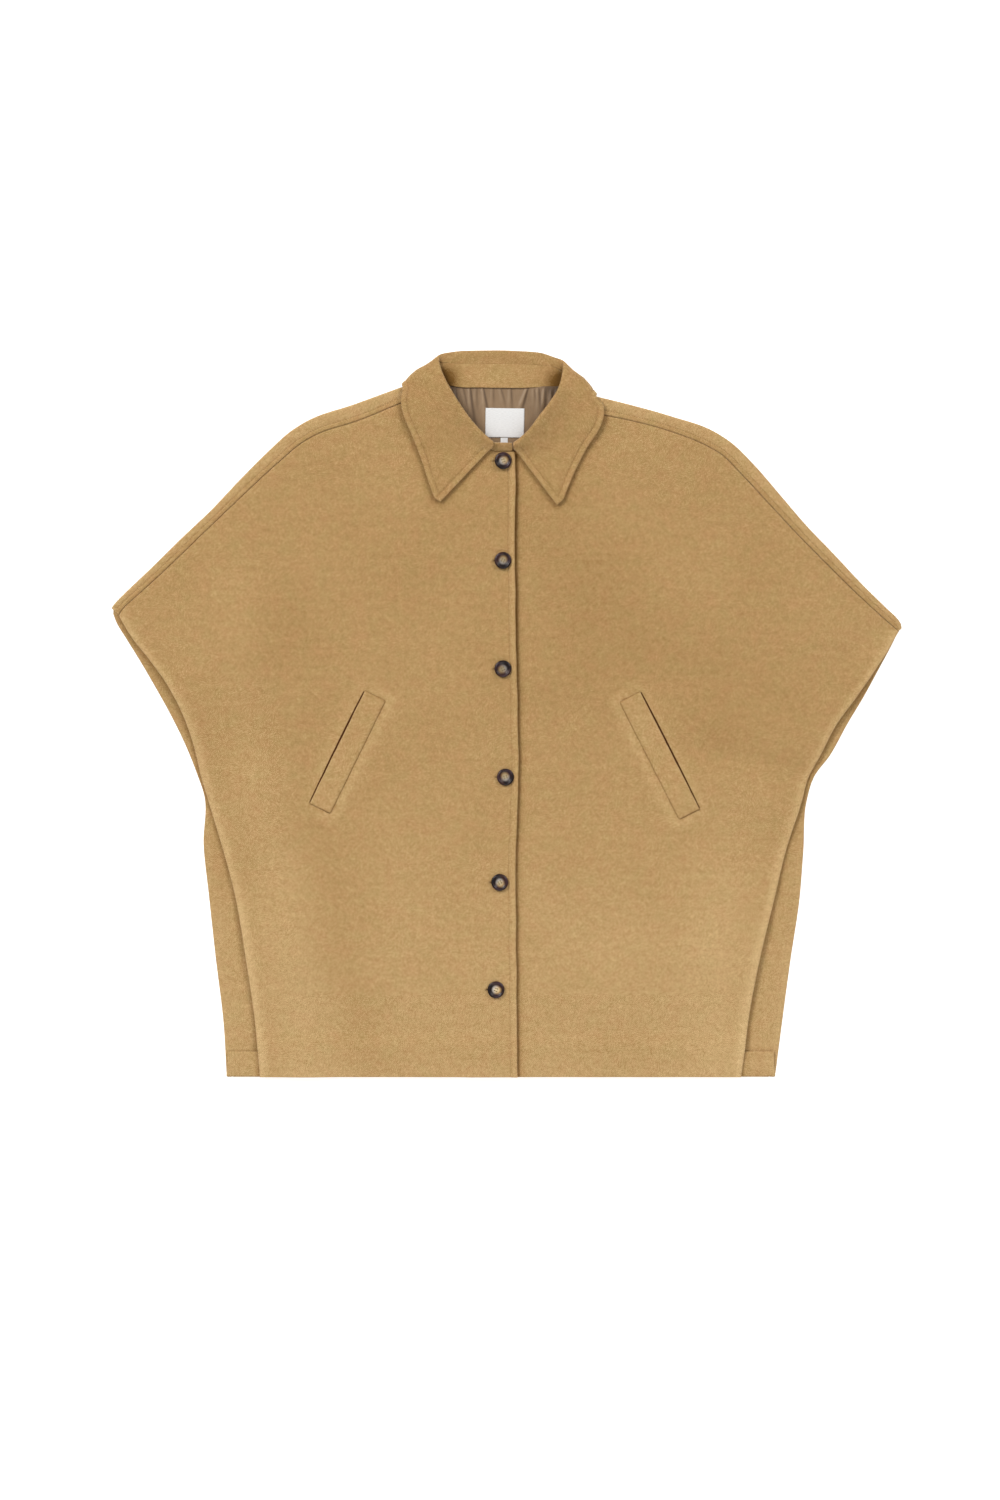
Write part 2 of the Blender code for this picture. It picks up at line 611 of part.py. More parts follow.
def hole_cutter(centre_x, centre_y, height):
    """Four pegs at the corners of a square, joined in one object, to cut a button's holes."""
    mesh = bmesh.new()
    for turn in range(4):
        angle = math.pi / 4.0 + math.pi / 2.0 * turn
        reach = BUTTON_HOLE_PITCH / math.sqrt(2.0)
        made = bmesh.ops.create_cone(mesh, cap_ends=True, segments=HOLE_SIDES, depth=CUTTER_DEPTH * MM,
                                     radius1=BUTTON_HOLE_RADIUS * MM, radius2=BUTTON_HOLE_RADIUS * MM)
        bmesh.ops.translate(mesh, verts=made["verts"],
                            vec=(reach * math.cos(angle) * MM, reach * math.sin(angle) * MM, 0.0))
    bmesh.ops.translate(mesh, verts=mesh.verts, vec=(centre_x * MM, centre_y * MM, height * MM))
    return mesh


def make_button(number, button, finish):
    height = front_height(button.x, button.y, 1.0, True) + CLOTH / 2.0 + GAP
    item = make_object(f"button_{number}", button_mesh(), finish)
    item.data.set_sharp_from_angle(angle=math.radians(BUTTON_SHARP))
    item.location = (button.x * MM, button.y * MM, height * MM)
    cutter = make_object(f"hole_cutter_{number}", hole_cutter(button.x, button.y, height), finish)
    cutter.hide_render = True
    cutter.display_type = "WIRE"
    holes = item.modifiers.new("Sewing holes", "BOOLEAN")
    holes.operation = "DIFFERENCE"
    holes.object = cutter


# %% Build
def build():
    clear_scene()
    wool = material("camel_wool", (0.445, 0.292, 0.128), 0.95)
    satin = material("taupe_satin", (0.302, 0.205, 0.118), 0.45)
    woven_label = material("white_label", (0.83, 0.82, 0.81), 0.6)
    horn = material("dark_horn", (0.035, 0.018, 0.012), 0.25)
    sheet("back", back_rows(), wool)
    sheet("front_right", front_rows([(s.right_x, s.right_y) for s in FRONT_SIDES], RIGHT_SHOULDER,
                                    RIGHT_NECK, edge_x, right_columns, True), wool)
    sheet("front_left", front_rows([(s.left_x, s.left_y) for s in FRONT_SIDES], LEFT_SHOULDER,
                                   LEFT_NECK, lambda y: UNDERLAP_X, left_columns, False), wool)
    make_collar(wool)
    make_lining(satin)
    make_tag("neck_label", LABEL_CENTRE, LABEL_SIZE, LABEL_TURN, woven_label)
    make_tag("size_tab", TAB_CENTRE, TAB_SIZE, 0.0, woven_label)
    for welt in WELTS:
        make_welt(welt, wool)
    for number, button in enumerate(BUTTONS, start=1):
        make_button(number, button, horn)


build()
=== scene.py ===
# %% [markdown]
# # A wool cape, laid flat with its front up
# The cape is cut from one heavy camel wool twill. A back and two fronts lie on each other, joined at
# the shoulders and buttoned at the middle, with open sides. A shirt collar on a stand folds down over
# the fronts. Each sewn piece is made here as its own thin shell of cloth, on the form that the
# measured model gives it.
#
# +X is the wearer's left, +Y points to the collar and +Z is up. Tables are in millimetres, and the
# scene is in metres. "Right" and "left" are always the wearer's.

import math
from collections import namedtuple

import bmesh
import bpy
import numpy
from mathutils import Matrix, Vector, noise
from mathutils.bvhtree import BVHTree
from mathutils.kdtree import KDTree


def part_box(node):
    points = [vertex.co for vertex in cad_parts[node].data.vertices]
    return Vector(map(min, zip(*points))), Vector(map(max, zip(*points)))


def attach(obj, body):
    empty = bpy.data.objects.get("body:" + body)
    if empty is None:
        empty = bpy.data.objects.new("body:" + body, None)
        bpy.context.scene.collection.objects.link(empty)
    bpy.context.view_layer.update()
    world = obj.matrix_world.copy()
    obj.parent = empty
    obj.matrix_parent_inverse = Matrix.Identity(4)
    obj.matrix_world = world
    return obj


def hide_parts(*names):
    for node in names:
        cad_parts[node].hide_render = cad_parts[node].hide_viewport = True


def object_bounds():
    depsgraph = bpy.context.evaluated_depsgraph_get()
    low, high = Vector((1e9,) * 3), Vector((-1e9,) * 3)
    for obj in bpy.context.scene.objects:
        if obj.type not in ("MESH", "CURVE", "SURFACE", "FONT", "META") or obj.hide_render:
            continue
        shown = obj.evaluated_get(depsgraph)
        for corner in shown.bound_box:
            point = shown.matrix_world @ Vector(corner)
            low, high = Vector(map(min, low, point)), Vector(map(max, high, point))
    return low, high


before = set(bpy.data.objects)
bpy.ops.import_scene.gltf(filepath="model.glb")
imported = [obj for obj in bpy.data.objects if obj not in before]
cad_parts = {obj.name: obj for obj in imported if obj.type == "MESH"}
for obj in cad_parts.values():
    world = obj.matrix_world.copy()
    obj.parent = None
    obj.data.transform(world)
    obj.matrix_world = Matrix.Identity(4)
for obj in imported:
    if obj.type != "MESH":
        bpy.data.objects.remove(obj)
cad_low, cad_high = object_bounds()
MM = 0.001
print("measured model, mm:", [round(side / MM, 1) for side in cad_high - cad_low])

# %% [markdown]
# ## Helpers for smooth outlines
# A pattern cutter draws an outline through a few marked points with a curved ruler. `along` is that
# ruler: it gives a point on the smooth curve through a short list of points. Its slope at each point
# is weighted by the distances to the two neighbours, so that points which are close together don't
# make the curve swing out.

# %% Curves through a few points


def ramp(value, start, end):
    """0 at start, 1 at end, with soft ends; start may be the larger of the two."""
    share = min(1.0, max(0.0, (value - start) / (end - start)))
    return share * share * (3.0 - 2.0 * share)


def hump(distance, width):
    return math.exp(-((distance / width) ** 2))


class Band(namedtuple("Band", "size middle width")):
    """A soft band along an edge: its size, how far in from the edge it is, and its width."""

    def at(self, distance):
        return self.size * hump(distance - self.middle, self.width)


def waver(x, y, reach, layer):
    """Soft unevenness from -1 to 1, in waves about as long as reach; each layer is another one."""
    return noise.noise(Vector((x / reach, y / reach, layer)))


def slope(points, index):
    """The direction of the curve at one of its points."""
    here = points[index]
    if index == 0:
        return (points[1] - here).normalized()
    if index == len(points) - 1:
        return (here - points[-2]).normalized()
    back = here - points[index - 1]
    ahead = points[index + 1] - here
    near, far = max(back.length, 1e-6), max(ahead.length, 1e-6)
    return (back * (far / near) + ahead * (near / far)) / (near + far)


def along(points, place):
    """A point on the smooth curve: place 2.5 is halfway from the third point to the fourth."""
    low = max(0, min(len(points) - 2, int(place)))
    share = place - low
    start, end = points[low], points[low + 1]
    reach = (end - start).length
    rest = 1.0 - share
    pull = slope(points, low) * (reach * share * rest * rest)
    push = slope(points, low + 1) * (reach * share * share * rest)
    blend = share * share * (3.0 - 2.0 * share)
    return start * (1.0 - blend) + end * blend + pull - push


def places(points, step, start=(), end=()):
    """Places a step or less apart along a curve, and at the given distances from its ends."""
    found = set()
    for low, (a, b) in enumerate(zip(points, points[1:])):
        count = max(1, math.ceil((b - a).length / step))
        found.update(low + part / count for part in range(count))
    found.add(len(points) - 1.0)
    first = (points[1] - points[0]).length
    last = (points[-1] - points[-2]).length
    near = [distance / first for distance in start]
    far = [len(points) - 1.0 - distance / last for distance in end]
    low_end = max(near, default=0.0)
    high_end = min(far, default=len(points) - 1.0)
    kept = [place for place in found if low_end + 0.02 < place < high_end - 0.02]
    return sorted(set(kept + near + far + [0.0, len(points) - 1.0]))


def curve(points, step):
    """The smooth curve as a line of points, a step or less apart."""
    return [along(points, place) for place in places(points, step)]


def length_of(points):
    return sum((b - a).length for a, b in zip(points, points[1:]))


def spread(points, shares):
    """Points at the given shares of a line's length."""
    steps = [(b - a).length for a, b in zip(points, points[1:])]
    total = sum(steps)
    found = []
    place = 0
    passed = 0.0
    for share in shares:
        wanted = share * total
        while place < len(steps) - 1 and wanted > passed + steps[place]:
            passed += steps[place]
            place += 1
        part = (wanted - passed) / max(steps[place], 1e-9)
        found.append(points[place].lerp(points[place + 1], part))
    return found


def even(count):
    return [step / (count - 1) for step in range(count)]


def columns(length, start, middle, end):
    """Shares of a length: at the start and end distances, and evenly at so many between."""
    first, last = start[-1], length - end[-1]
    inner = [first + (last - first) * step / (middle + 1) for step in range(1, middle + 1)]
    outer = [length - distance for distance in reversed(end)]
    return [value / length for value in [*start, *inner, *outer]]


def level(points):
    """The same points with no height, to measure distances as seen from above."""
    return [Vector((point[0], point[1], 0.0)) for point in points]


def edge_tree(*lines):
    """A quick finder of the nearest place on one or more edges."""
    dense = []
    for line in lines:
        dense += [a.lerp(b, step / 8.0) for a, b in zip(line, line[1:]) for step in range(8)]
    tree = KDTree(len(dense))
    for place, point in enumerate(dense):
        tree.insert(point, place)
    tree.balance()
    return tree

# %% [markdown]
# ## The outlines
# These rows are the cut of the cape: where its open sides, shoulders, neck and front edge run.
# They are the measured model's rows, so every piece made here lies on its own solid. Only the two
# wing tips have a few more rows, which draw them a little blunter.

# %% Sizes of the cloth and its layers
CLOTH = 2.4              # wall of the wool cloth
GAP = 0.3                # between pieces that lie on each other
LAYER = 1.8              # air between the back and the fronts
LIFT = CLOTH + 0.4       # how far the collar under the back raises the neck
HEM_Y = cad_low.y / MM   # the hem
HEM_TURN = 32.0          # depth of the turned-up hem
HEM_AIR = 0.9            # air inside the hem's fold
UNDERLAP_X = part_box("front_left")[0].x / MM

Side = namedtuple("Side", "right_x right_y left_x left_y")
BACK_SIDES = [
    Side(-349.6, -453.8, 335.6, -453.8),
    Side(-353.5, -387.0, 344.5, -385.0),
    Side(-363.0, -308.0, 355.0, -307.0),
    Side(-372.0, -226.0, 366.0, -233.0),
    Side(-378.5, -163.0, 371.0, -171.0),
    Side(-377.5, -103.0, 375.0, -110.0),
    Side(-386.5, -76.0, 384.0, -80.0),
    Side(-400.0, -42.0, 404.5, -52.0),
    Side(-421.0, 1.0, 425.5, -14.0),
    Side(-442.0, 38.5, 447.0, 22.0),
    Side(-459.0, 67.5, 466.0, 57.0),
    Side(-475.5, 94.0, 479.5, 82.0),
    Side(-488.0, 115.0, 488.0, 98.6),
    Side(-491.5, 124.5, 489.6, 101.2),
]
FRONT_SIDES = [
    Side(-307.5, -453.8, 292.6, -453.8),
    Side(-310.5, -418.8, 297.5, -418.8),
    Side(-314.5, -380.0, 302.5, -380.0),
    Side(-325.0, -308.0, 316.0, -307.0),
    Side(-339.0, -226.5, 334.0, -233.0),
    Side(-356.0, -163.0, 349.0, -171.0),
    Side(-373.5, -105.0, 368.0, -112.0),
    Side(-382.0, -76.0, 377.0, -80.0),
    Side(-390.0, -42.0, 392.0, -52.0),
    Side(-405.0, 1.0, 410.5, -16.0),
    Side(-425.0, 38.5, 437.0, 21.0),
    Side(-446.0, 67.5, 462.0, 57.0),
    Side(-467.0, 94.0, 478.0, 82.0),
    Side(-480.5, 116.0, 486.5, 97.0),
]
# The shoulder from the wing tip to the neck: its folded edge, and the seam on the front of it.
Shoulder = namedtuple("Shoulder", "edge_x edge_y seam_x seam_y")


def ends_of(station):
    """The place on the folded edge and the place on the seam at one row of a shoulder."""
    return Vector((station.edge_x, station.edge_y)), Vector((station.seam_x, station.seam_y))


RIGHT_SHOULDER = [
    Shoulder(-493.5, 131.5, -484.0, 122.5),
    Shoulder(-490.5, 136.0, -481.5, 127.4),
    Shoulder(-485.5, 141.5, -476.5, 133.2),
    Shoulder(-474.0, 153.0, -464.5, 144.0),
    Shoulder(-447.0, 178.6, -436.8, 169.0),
    Shoulder(-408.0, 217.0, -398.0, 206.0),
    Shoulder(-369.0, 254.0, -359.0, 243.6),
    Shoulder(-333.0, 292.0, -321.3, 279.7),
    Shoulder(-296.0, 329.0, -283.4, 314.5),
    Shoulder(-269.0, 353.0, -256.3, 337.3),
    Shoulder(-248.0, 366.0, -241.4, 346.2),
    Shoulder(-191.0, 386.0, -183.8, 366.1),
    Shoulder(-132.0, 407.0, -125.0, 390.0),
    Shoulder(-95.0, 420.0, -89.0, 405.0),
]
LEFT_SHOULDER = [
    Shoulder(493.4, 106.2, 489.2, 102.6),
    Shoulder(492.4, 112.2, 485.6, 106.0),
    Shoulder(489.2, 117.3, 481.2, 109.8),
    Shoulder(475.0, 131.2, 466.5, 122.6),
    Shoulder(446.0, 159.6, 437.0, 150.0),
    Shoulder(410.0, 198.0, 399.4, 187.0),
    Shoulder(374.0, 235.5, 362.6, 224.5),
    Shoulder(341.0, 274.0, 327.5, 262.0),
    Shoulder(308.0, 312.0, 293.7, 298.4),
    Shoulder(280.0, 339.0, 267.8, 323.8),
    Shoulder(258.0, 353.0, 250.2, 334.0),
    Shoulder(205.0, 371.5, 199.2, 353.9),
    Shoulder(128.0, 392.0, 124.7, 371.6),
    Shoulder(88.0, 401.0, 73.0, 380.0),
]
BACK_NECK = [(-80.0, 411.0), (-60.0, 407.6), (-4.0, 406.6), (45.0, 406.6), (70.0, 404.6)]
RIGHT_NECK = [(-77.0, 376.0), (-58.0, 351.0), (-36.0, 334.0), (-14.0, 326.5), (8.5, 326.0)]
LEFT_NECK = [(57.0, 357.0), (39.0, 337.0), (20.0, 329.0), (0.0, 326.5), (UNDERLAP_X, 326.0)]
Edge = namedtuple("Edge", "y x")
FRONT_EDGE = [
    Edge(-453.8, 13.6), Edge(-228.0, 11.6), Edge(-184.0, 11.0), Edge(-127.0, 13.6), Edge(-71.0, 15.3),
    Edge(17.0, 13.6), Edge(102.0, 11.6), Edge(217.0, 10.1), Edge(307.0, 12.0), Edge(326.0, 8.5),
]
print("rows of the sides:", len(BACK_SIDES), "rows of the shoulders:", len(RIGHT_SHOULDER))

# %% [markdown]
# ## How high each layer lies
# The back lies on the surface. The fronts lie on the back, a little air between them, and the right
# front climbs onto the left one along the closing. On top of that come the soft swells and creases
# that thick wool keeps when it is laid out: long, low and uneven. Each crease is one row here, a
# line with a width and a height, and a negative height is a trough. A second table, in the same
# form, holds broad patches of painted light and shade: a positive height paints the cloth lighter,
# and a negative one paints it darker.

# %% Heights
Crease = namedtuple("Crease", "x1 y1 x2 y2 width height")
CREASES = [
    Crease(-352.0, 190.0, -326.0, 60.0, 34.0, 2.6),
    Crease(-334.0, 90.0, -300.0, -150.0, 36.0, 3.2),
    Crease(-312.0, -110.0, -262.0, -300.0, 34.0, 3.6),
    Crease(-276.0, -270.0, -248.0, -470.0, 32.0, 4.0),
    Crease(-300.0, 30.0, -276.0, -120.0, 14.0, -0.7),
    Crease(-262.0, -180.0, -205.0, -440.0, 18.0, -0.9),
    Crease(-440.0, 120.0, -380.0, 20.0, 24.0, 1.4),
    Crease(-455.0, 96.0, -430.0, 108.0, 9.0, -0.6),
    Crease(-230.0, 190.0, -80.0, 196.0, 30.0, 0.8),
    Crease(-150.0, 60.0, -70.0, -110.0, 38.0, 1.0),
    Crease(-120.0, -250.0, -60.0, -430.0, 34.0, 1.2),
    Crease(40.0, 55.0, 150.0, 8.0, 22.0, 1.6),
    Crease(60.0, 25.0, 130.0, -6.0, 11.0, -0.5),
    Crease(232.0, -45.0, 372.0, -76.0, 13.0, -1.0),
    Crease(236.0, -88.0, 360.0, -112.0, 30.0, 2.4),
    Crease(240.0, -6.0, 380.0, -36.0, 34.0, 1.8),
    Crease(418.0, 66.0, 464.0, 100.0, 10.0, -0.7),
    Crease(400.0, 92.0, 446.0, 126.0, 16.0, 1.2),
    Crease(120.0, 210.0, 230.0, 120.0, 42.0, 1.2),
    Crease(60.0, -180.0, 220.0, -230.0, 40.0, 1.2),
    Crease(120.0, -330.0, 270.0, -300.0, 44.0, 1.4),
    Crease(60.0, -395.0, 200.0, -402.0, 20.0, 0.5),
    Crease(30.0, -420.0, 26.0, -470.0, 14.0, 0.8),
    Crease(110.0, -430.0, 108.0, -470.0, 16.0, 0.9),
    Crease(190.0, -425.0, 192.0, -470.0, 15.0, 0.7),
    Crease(-90.0, -430.0, -94.0, -470.0, 18.0, 0.8),
    Crease(-180.0, -425.0, -184.0, -470.0, 16.0, 0.7),
]
# Painted light and shade in broad patches: lighter on the lit slopes of creases and low down,
# darker below the collar and on slopes in shade.
LIGHT_AND_SHADE_PATCHES = [
    Crease(-336.0, 150.0, -322.0, -60.0, 40.0, 0.40),
    Crease(-302.0, -100.0, -236.0, -440.0, 40.0, 0.75),
    Crease(-280.0, 190.0, -250.0, -60.0, 40.0, -0.30),
    Crease(-240.0, -120.0, -178.0, -430.0, 26.0, -0.45),
    Crease(-440.0, 130.0, -390.0, 60.0, 46.0, 0.25),
    Crease(-120.0, 215.0, -60.0, 240.0, 50.0, -0.30),
    Crease(52.0, 250.0, 110.0, 110.0, 66.0, -0.45),
    Crease(130.0, 90.0, 320.0, 10.0, 80.0, -0.30),
    Crease(250.0, -20.0, 360.0, -62.0, 22.0, -0.30),
    Crease(250.0, -100.0, 350.0, -125.0, 36.0, 0.30),
    Crease(70.0, -290.0, 210.0, -330.0, 110.0, 0.40),
    Crease(420.0, 130.0, 450.0, 100.0, 50.0, 0.30),
    Crease(-130.0, -60.0, -90.0, -380.0, 60.0, 0.15),
    Crease(262.0, -210.0, 262.0, -430.0, 42.0, 0.7),
    Crease(-190.0, -15.0, -215.0, -60.0, 26.0, 0.5),
]
# The welt of each pocket: its middle, its length and lean, and the side that its mouth is on.
Welt = namedtuple("Welt", "node x y length lean mouth")
WELTS = [Welt("welt_right", -198.0, -48.3, 157.5, 26.1, -1.0),
         Welt("welt_left", 190.8, -52.7, 165.0, -26.8, 1.0)]
WELT_WIDTH = 29.0
NECK_MIDDLE = -8.0       # middle of the part that the collar under the back raises
PLACKET_START = -62.0    # the right front starts to climb onto the left front here
PLACKET_TOP = -41.0      # and is on top of it from here
SIDE_SETTLE = 45.0       # width over which a front's open side settles on the back
SIDE_AIR = 0.6           # air under a front at its open side, where the rest has LAYER
HALO = Band(1.0, 6.0, 6.5)
HALO_AT_MOUTH = 0.55     # the halo is this much fainter outside the pocket's mouth


def neck_lift(x, y):
    """How far the collar fold under the back raises everything near the neck."""
    return LIFT * ramp(y, 330.0, 384.0) * ramp(abs(x - NECK_MIDDLE), 185.0, 128.0)


def crease_height(crease, x, y):
    """One crease's share at a point: round across, and fading out past its ends."""
    line_x, line_y = crease.x2 - crease.x1, crease.y2 - crease.y1
    length = math.hypot(line_x, line_y)
    run = ((x - crease.x1) * line_x + (y - crease.y1) * line_y) / length
    aside = ((y - crease.y1) * line_x - (x - crease.x1) * line_y) / length
    past = max(0.0, -run, run - length)
    if abs(aside) > crease.width * 2.6 or past > crease.width * 3.5:
        return 0.0
    return crease.height * hump(aside, crease.width) * hump(past, crease.width * 1.4)


def low_painted_light(y):
    """Painted light: the cloth is painted lighter the lower down it is, where more light falls on it."""
    return 1.2 * ramp(y, 60.0, -400.0)


def welt_halo(x, y):
    """1 in a band round each welt, where the pocket's seam allowances lie under the cloth."""
    found = 0.0
    for welt in WELTS:
        turn = math.radians(welt.lean)
        off_x, off_y = x - welt.x, y - welt.y
        across = off_x * math.cos(turn) - off_y * math.sin(turn)
        down = off_x * math.sin(turn) + off_y * math.cos(turn)
        outside = math.hypot(max(0.0, abs(across) - WELT_WIDTH / 2.0),
                             max(0.0, abs(down) - welt.length / 2.0))
        if 0.0 < outside < 30.0:
            inner = 1.0 if across * welt.mouth < 0.0 else HALO_AT_MOUTH
            found = max(found, inner * HALO.at(outside))
    return found


def relief(x, y):
    """The soft unevenness of both fronts, shared by everything that lies on them."""
    swell = 0.9 * waver(x, y, 120.0, 3.0) + 0.35 * waver(x, y, 38.0, 9.0)
    swell += sum(crease_height(crease, x, y) for crease in CREASES)
    swell += 0.7 * welt_halo(x, y)
    floor = -1.1 * ramp(y, HEM_Y + HEM_TURN, HEM_Y + HEM_TURN + 50.0)
    return max(floor, swell + 0.4) * ramp(y, 400.0, 300.0)


def front_height(x, y, settle=1.0, raised=True):
    """Middle of a front: over the back's hem and, where it is raised, over the other front."""
    air = SIDE_AIR + (LAYER - SIDE_AIR) * settle
    hem_edge = HEM_Y + HEM_TURN
    air = max(air, (CLOTH + HEM_AIR + GAP) * ramp(y, hem_edge + 42.0, hem_edge + 3.0))
    climb = (CLOTH + 0.4) * ramp(x, PLACKET_START, PLACKET_TOP) if raised else 0.0
    return CLOTH * 1.5 + air + climb + neck_lift(x, y) + relief(x, y)


print("height of a front over the chest, mm:", round(front_height(-200.0, 100.0), 2))

# %% [markdown]
# ## Cloth as a shell
# A piece of cloth is a grid that is laid out over its form, and the Solidify modifier gives it the
# wall. Thick wool has no sharp cut edges: they are turned in, pressed and soft. So the wall gets
# thinner over its last millimetre or so, which rounds the edge. A vertex group tells Solidify where.
# Each vertex also keeps its place on the flat cut as a UV map, so the weave follows the cloth, and
# a float attribute holds its painted light and shade: above 0 it paints a highlight, below 0 shade.

# %% The cloth maker
RIM = 1.5                # width over which an edge rounds off
RIM_STEPS = (0.0, 0.25, 0.75, 1.5)
THINNEST = 0.82          # share of the wall that is gone at the very edge
Cell = namedtuple("Cell", "point thinning light", defaults=(0.0, 0.0))


def rim_thinning(distance):
    """How much thinner the wall is at this distance from the edge, as a share."""
    if distance >= RIM:
        return 0.0
    rest = 1.0 - distance / RIM
    return min(THINNEST, 1.0 - math.sqrt(max(0.0, 1.0 - rest * rest)))


def new_object(name, mesh, finish):
    """Make an object of a finished bmesh."""
    data = bpy.data.meshes.new(name)
    mesh.to_mesh(data)
    mesh.free()
    data.materials.append(finish)
    data.shade_smooth()
    piece = bpy.data.objects.new(name, data)
    bpy.context.scene.collection.objects.link(piece)
    return piece


def cloth(name, rows, finish, cuts=None, thickness=CLOTH, even_wall=True):
    """A shell about rows of cells, each with its point, how thin its wall is and its painted light or
    shade.
    """
    mesh = bmesh.new()
    across, down = len(rows[0]) - 1, len(rows) - 1
    bmesh.ops.create_grid(mesh, x_segments=across, y_segments=down, size=1.0)
    weave = mesh.loops.layers.uv.new("cut")
    thin = mesh.verts.layers.deform.new()
    painted_light_layer = mesh.verts.layers.float.new("painted_light")
    unused = []
    places_on_cut = {}
    for vert in mesh.verts:
        column = round((vert.co.x + 1.0) / 2.0 * across)
        row = round((vert.co.y + 1.0) / 2.0 * down)
        cell = rows[row][column]
        if cell is None:
            unused.append(vert)
            continue
        places_on_cut[vert] = (cuts[row][column] if cuts else cell.point.to_2d()) * MM
        vert.co = cell.point * MM
        vert[painted_light_layer] = cell.light
        if cell.thinning > 0.0:
            vert[thin][0] = cell.thinning
    bmesh.ops.delete(mesh, geom=unused, context="VERTS")
    for face in mesh.faces:
        for loop in face.loops:
            loop[weave].uv = places_on_cut[loop.vert]
    piece = new_object(name, mesh, finish)
    piece.vertex_groups.new(name="thin edge")
    wall = piece.modifiers.new("Cloth", "SOLIDIFY")
    wall.thickness = thickness * MM
    wall.offset = 0.0
    wall.use_even_offset = even_wall
    wall.vertex_group = "thin edge"
    wall.invert_vertex_group = True
    print(f"{name}: {len(piece.data.polygons)} faces before its wall")
    return piece


def finished(piece, node):
    """The piece stands for its solid and rides on the cape's one body."""
    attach(piece, "root")
    if node:
        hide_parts(node)
    return piece

# %% [markdown]
# ## Finishes
# Blender's materials are graphs of nodes. To write their arithmetic as plain Python, one small class
# wraps a node's output and gives it the operators `+ - *`, and each of them adds a Math node. A
# second class is one finish: it adds any other node, and feeds values or links to its sockets.

# %% Shader arithmetic


class Number:
    """A shader value that Python's operators work on."""

    def __init__(self, finish, output):
        self.finish = finish
        self.output = output

    def math(self, operation, *values):
        sockets = dict(enumerate(values))
        return self.finish.node("ShaderNodeMath", {"operation": operation}, sockets)

    def __add__(self, other):
        return self.math("ADD", self, other)

    def __sub__(self, other):
        return self.math("SUBTRACT", self, other)

    def __mul__(self, other):
        return self.math("MULTIPLY", self, other)

    def wave(self):
        """Its sine, from 0 to 1."""
        return self.math("SINE", self) * 0.5 + 0.5

    def within(self, low, high):
        """0 at low, 1 at high, and held between."""
        sockets = {"Value": self, "From Min": low, "From Max": high}
        return self.finish.node("ShaderNodeMapRange", {"clamp": True}, sockets)


class Finish:
    """One material: its Principled shader and the nodes that feed it."""

    def __init__(self, name, roughness, **constants):
        self.material = bpy.data.materials.new(name)
        self.material.use_nodes = True
        self.tree = self.material.node_tree
        self.shader = self.tree.nodes["Principled BSDF"]
        self.set("Roughness", roughness)
        for socket, value in constants.items():
            self.set(socket.replace("_", " ").title().replace("Ior", "IOR"), value)

    def feed(self, socket, value):
        if isinstance(value, Number):
            self.tree.links.new(value.output, socket)
        else:
            socket.default_value = value

    def set(self, socket, value):
        self.feed(self.shader.inputs[socket], value)

    def node(self, kind, settings=None, sockets=None, output=0):
        made = self.tree.nodes.new(kind)
        for key, value in (settings or {}).items():
            setattr(made, key, value)
        for key, value in (sockets or {}).items():
            self.feed(made.inputs[key], value)
        return Number(self, made.outputs[output])

    def noise(self, place, scale, detail=2.0, roughness=0.5, stretch=None, turn=0.0):
        """Soft noise at a scale in repeats to the metre, stretched and turned if asked."""
        if stretch:
            sockets = {"Vector": place, "Rotation": (0.0, 0.0, turn), "Scale": stretch}
            place = self.node("ShaderNodeMapping", {"vector_type": "TEXTURE"}, sockets)
        sockets = {"Vector": place, "Scale": scale, "Detail": detail, "Roughness": roughness}
        return self.node("ShaderNodeTexNoise", {}, sockets)

    def mix(self, share, first, second, blend="MIX"):
        settings = {"data_type": "RGBA", "blend_type": blend, "clamp_factor": True}
        return self.node("ShaderNodeMix", settings, {0: share, 6: first, 7: second}, output=2)

    def bump(self, height, distance, strength=1.0):
        sockets = {"Height": height, "Distance": distance, "Strength": strength}
        self.set("Normal", self.node("ShaderNodeBump", {}, sockets))


def linear(colour):
    """A display colour, 0 to 255, as the light it stands for."""
    found = []
    for channel in colour:
        share = channel / 255.0
        found.append(share / 12.92 if share <= 0.04045 else ((share + 0.055) / 1.055) ** 2.4)
    return tuple(found)


def shade(colour):
    return (*linear(colour), 1.0)


# %% [markdown]
# ## Camel wool
# The cloth is a heavy twill, woven from yarns in which straw, camel and rust fibres were mixed
# before spinning, and then brushed. So there are three scales to it: diagonal ribs 1.8 mm apart,
# flecks of each fibre colour that run with the ribs, and faint clouds where the nap lies another way.
# All of them read the flat cut, so they bend round folds with the cloth. An attribute on each piece
# paints light and shade into the colour: painted highlights along edges and painted shade where the
# cloth lies in shade. The nap scatters light at grazing angles, which is what the sheen of the
# shader is for.

# %% The wool
RIB = 1.8 * MM
RIB_ANGLE = math.radians(-44.0)     # the way across the ribs, on the cut


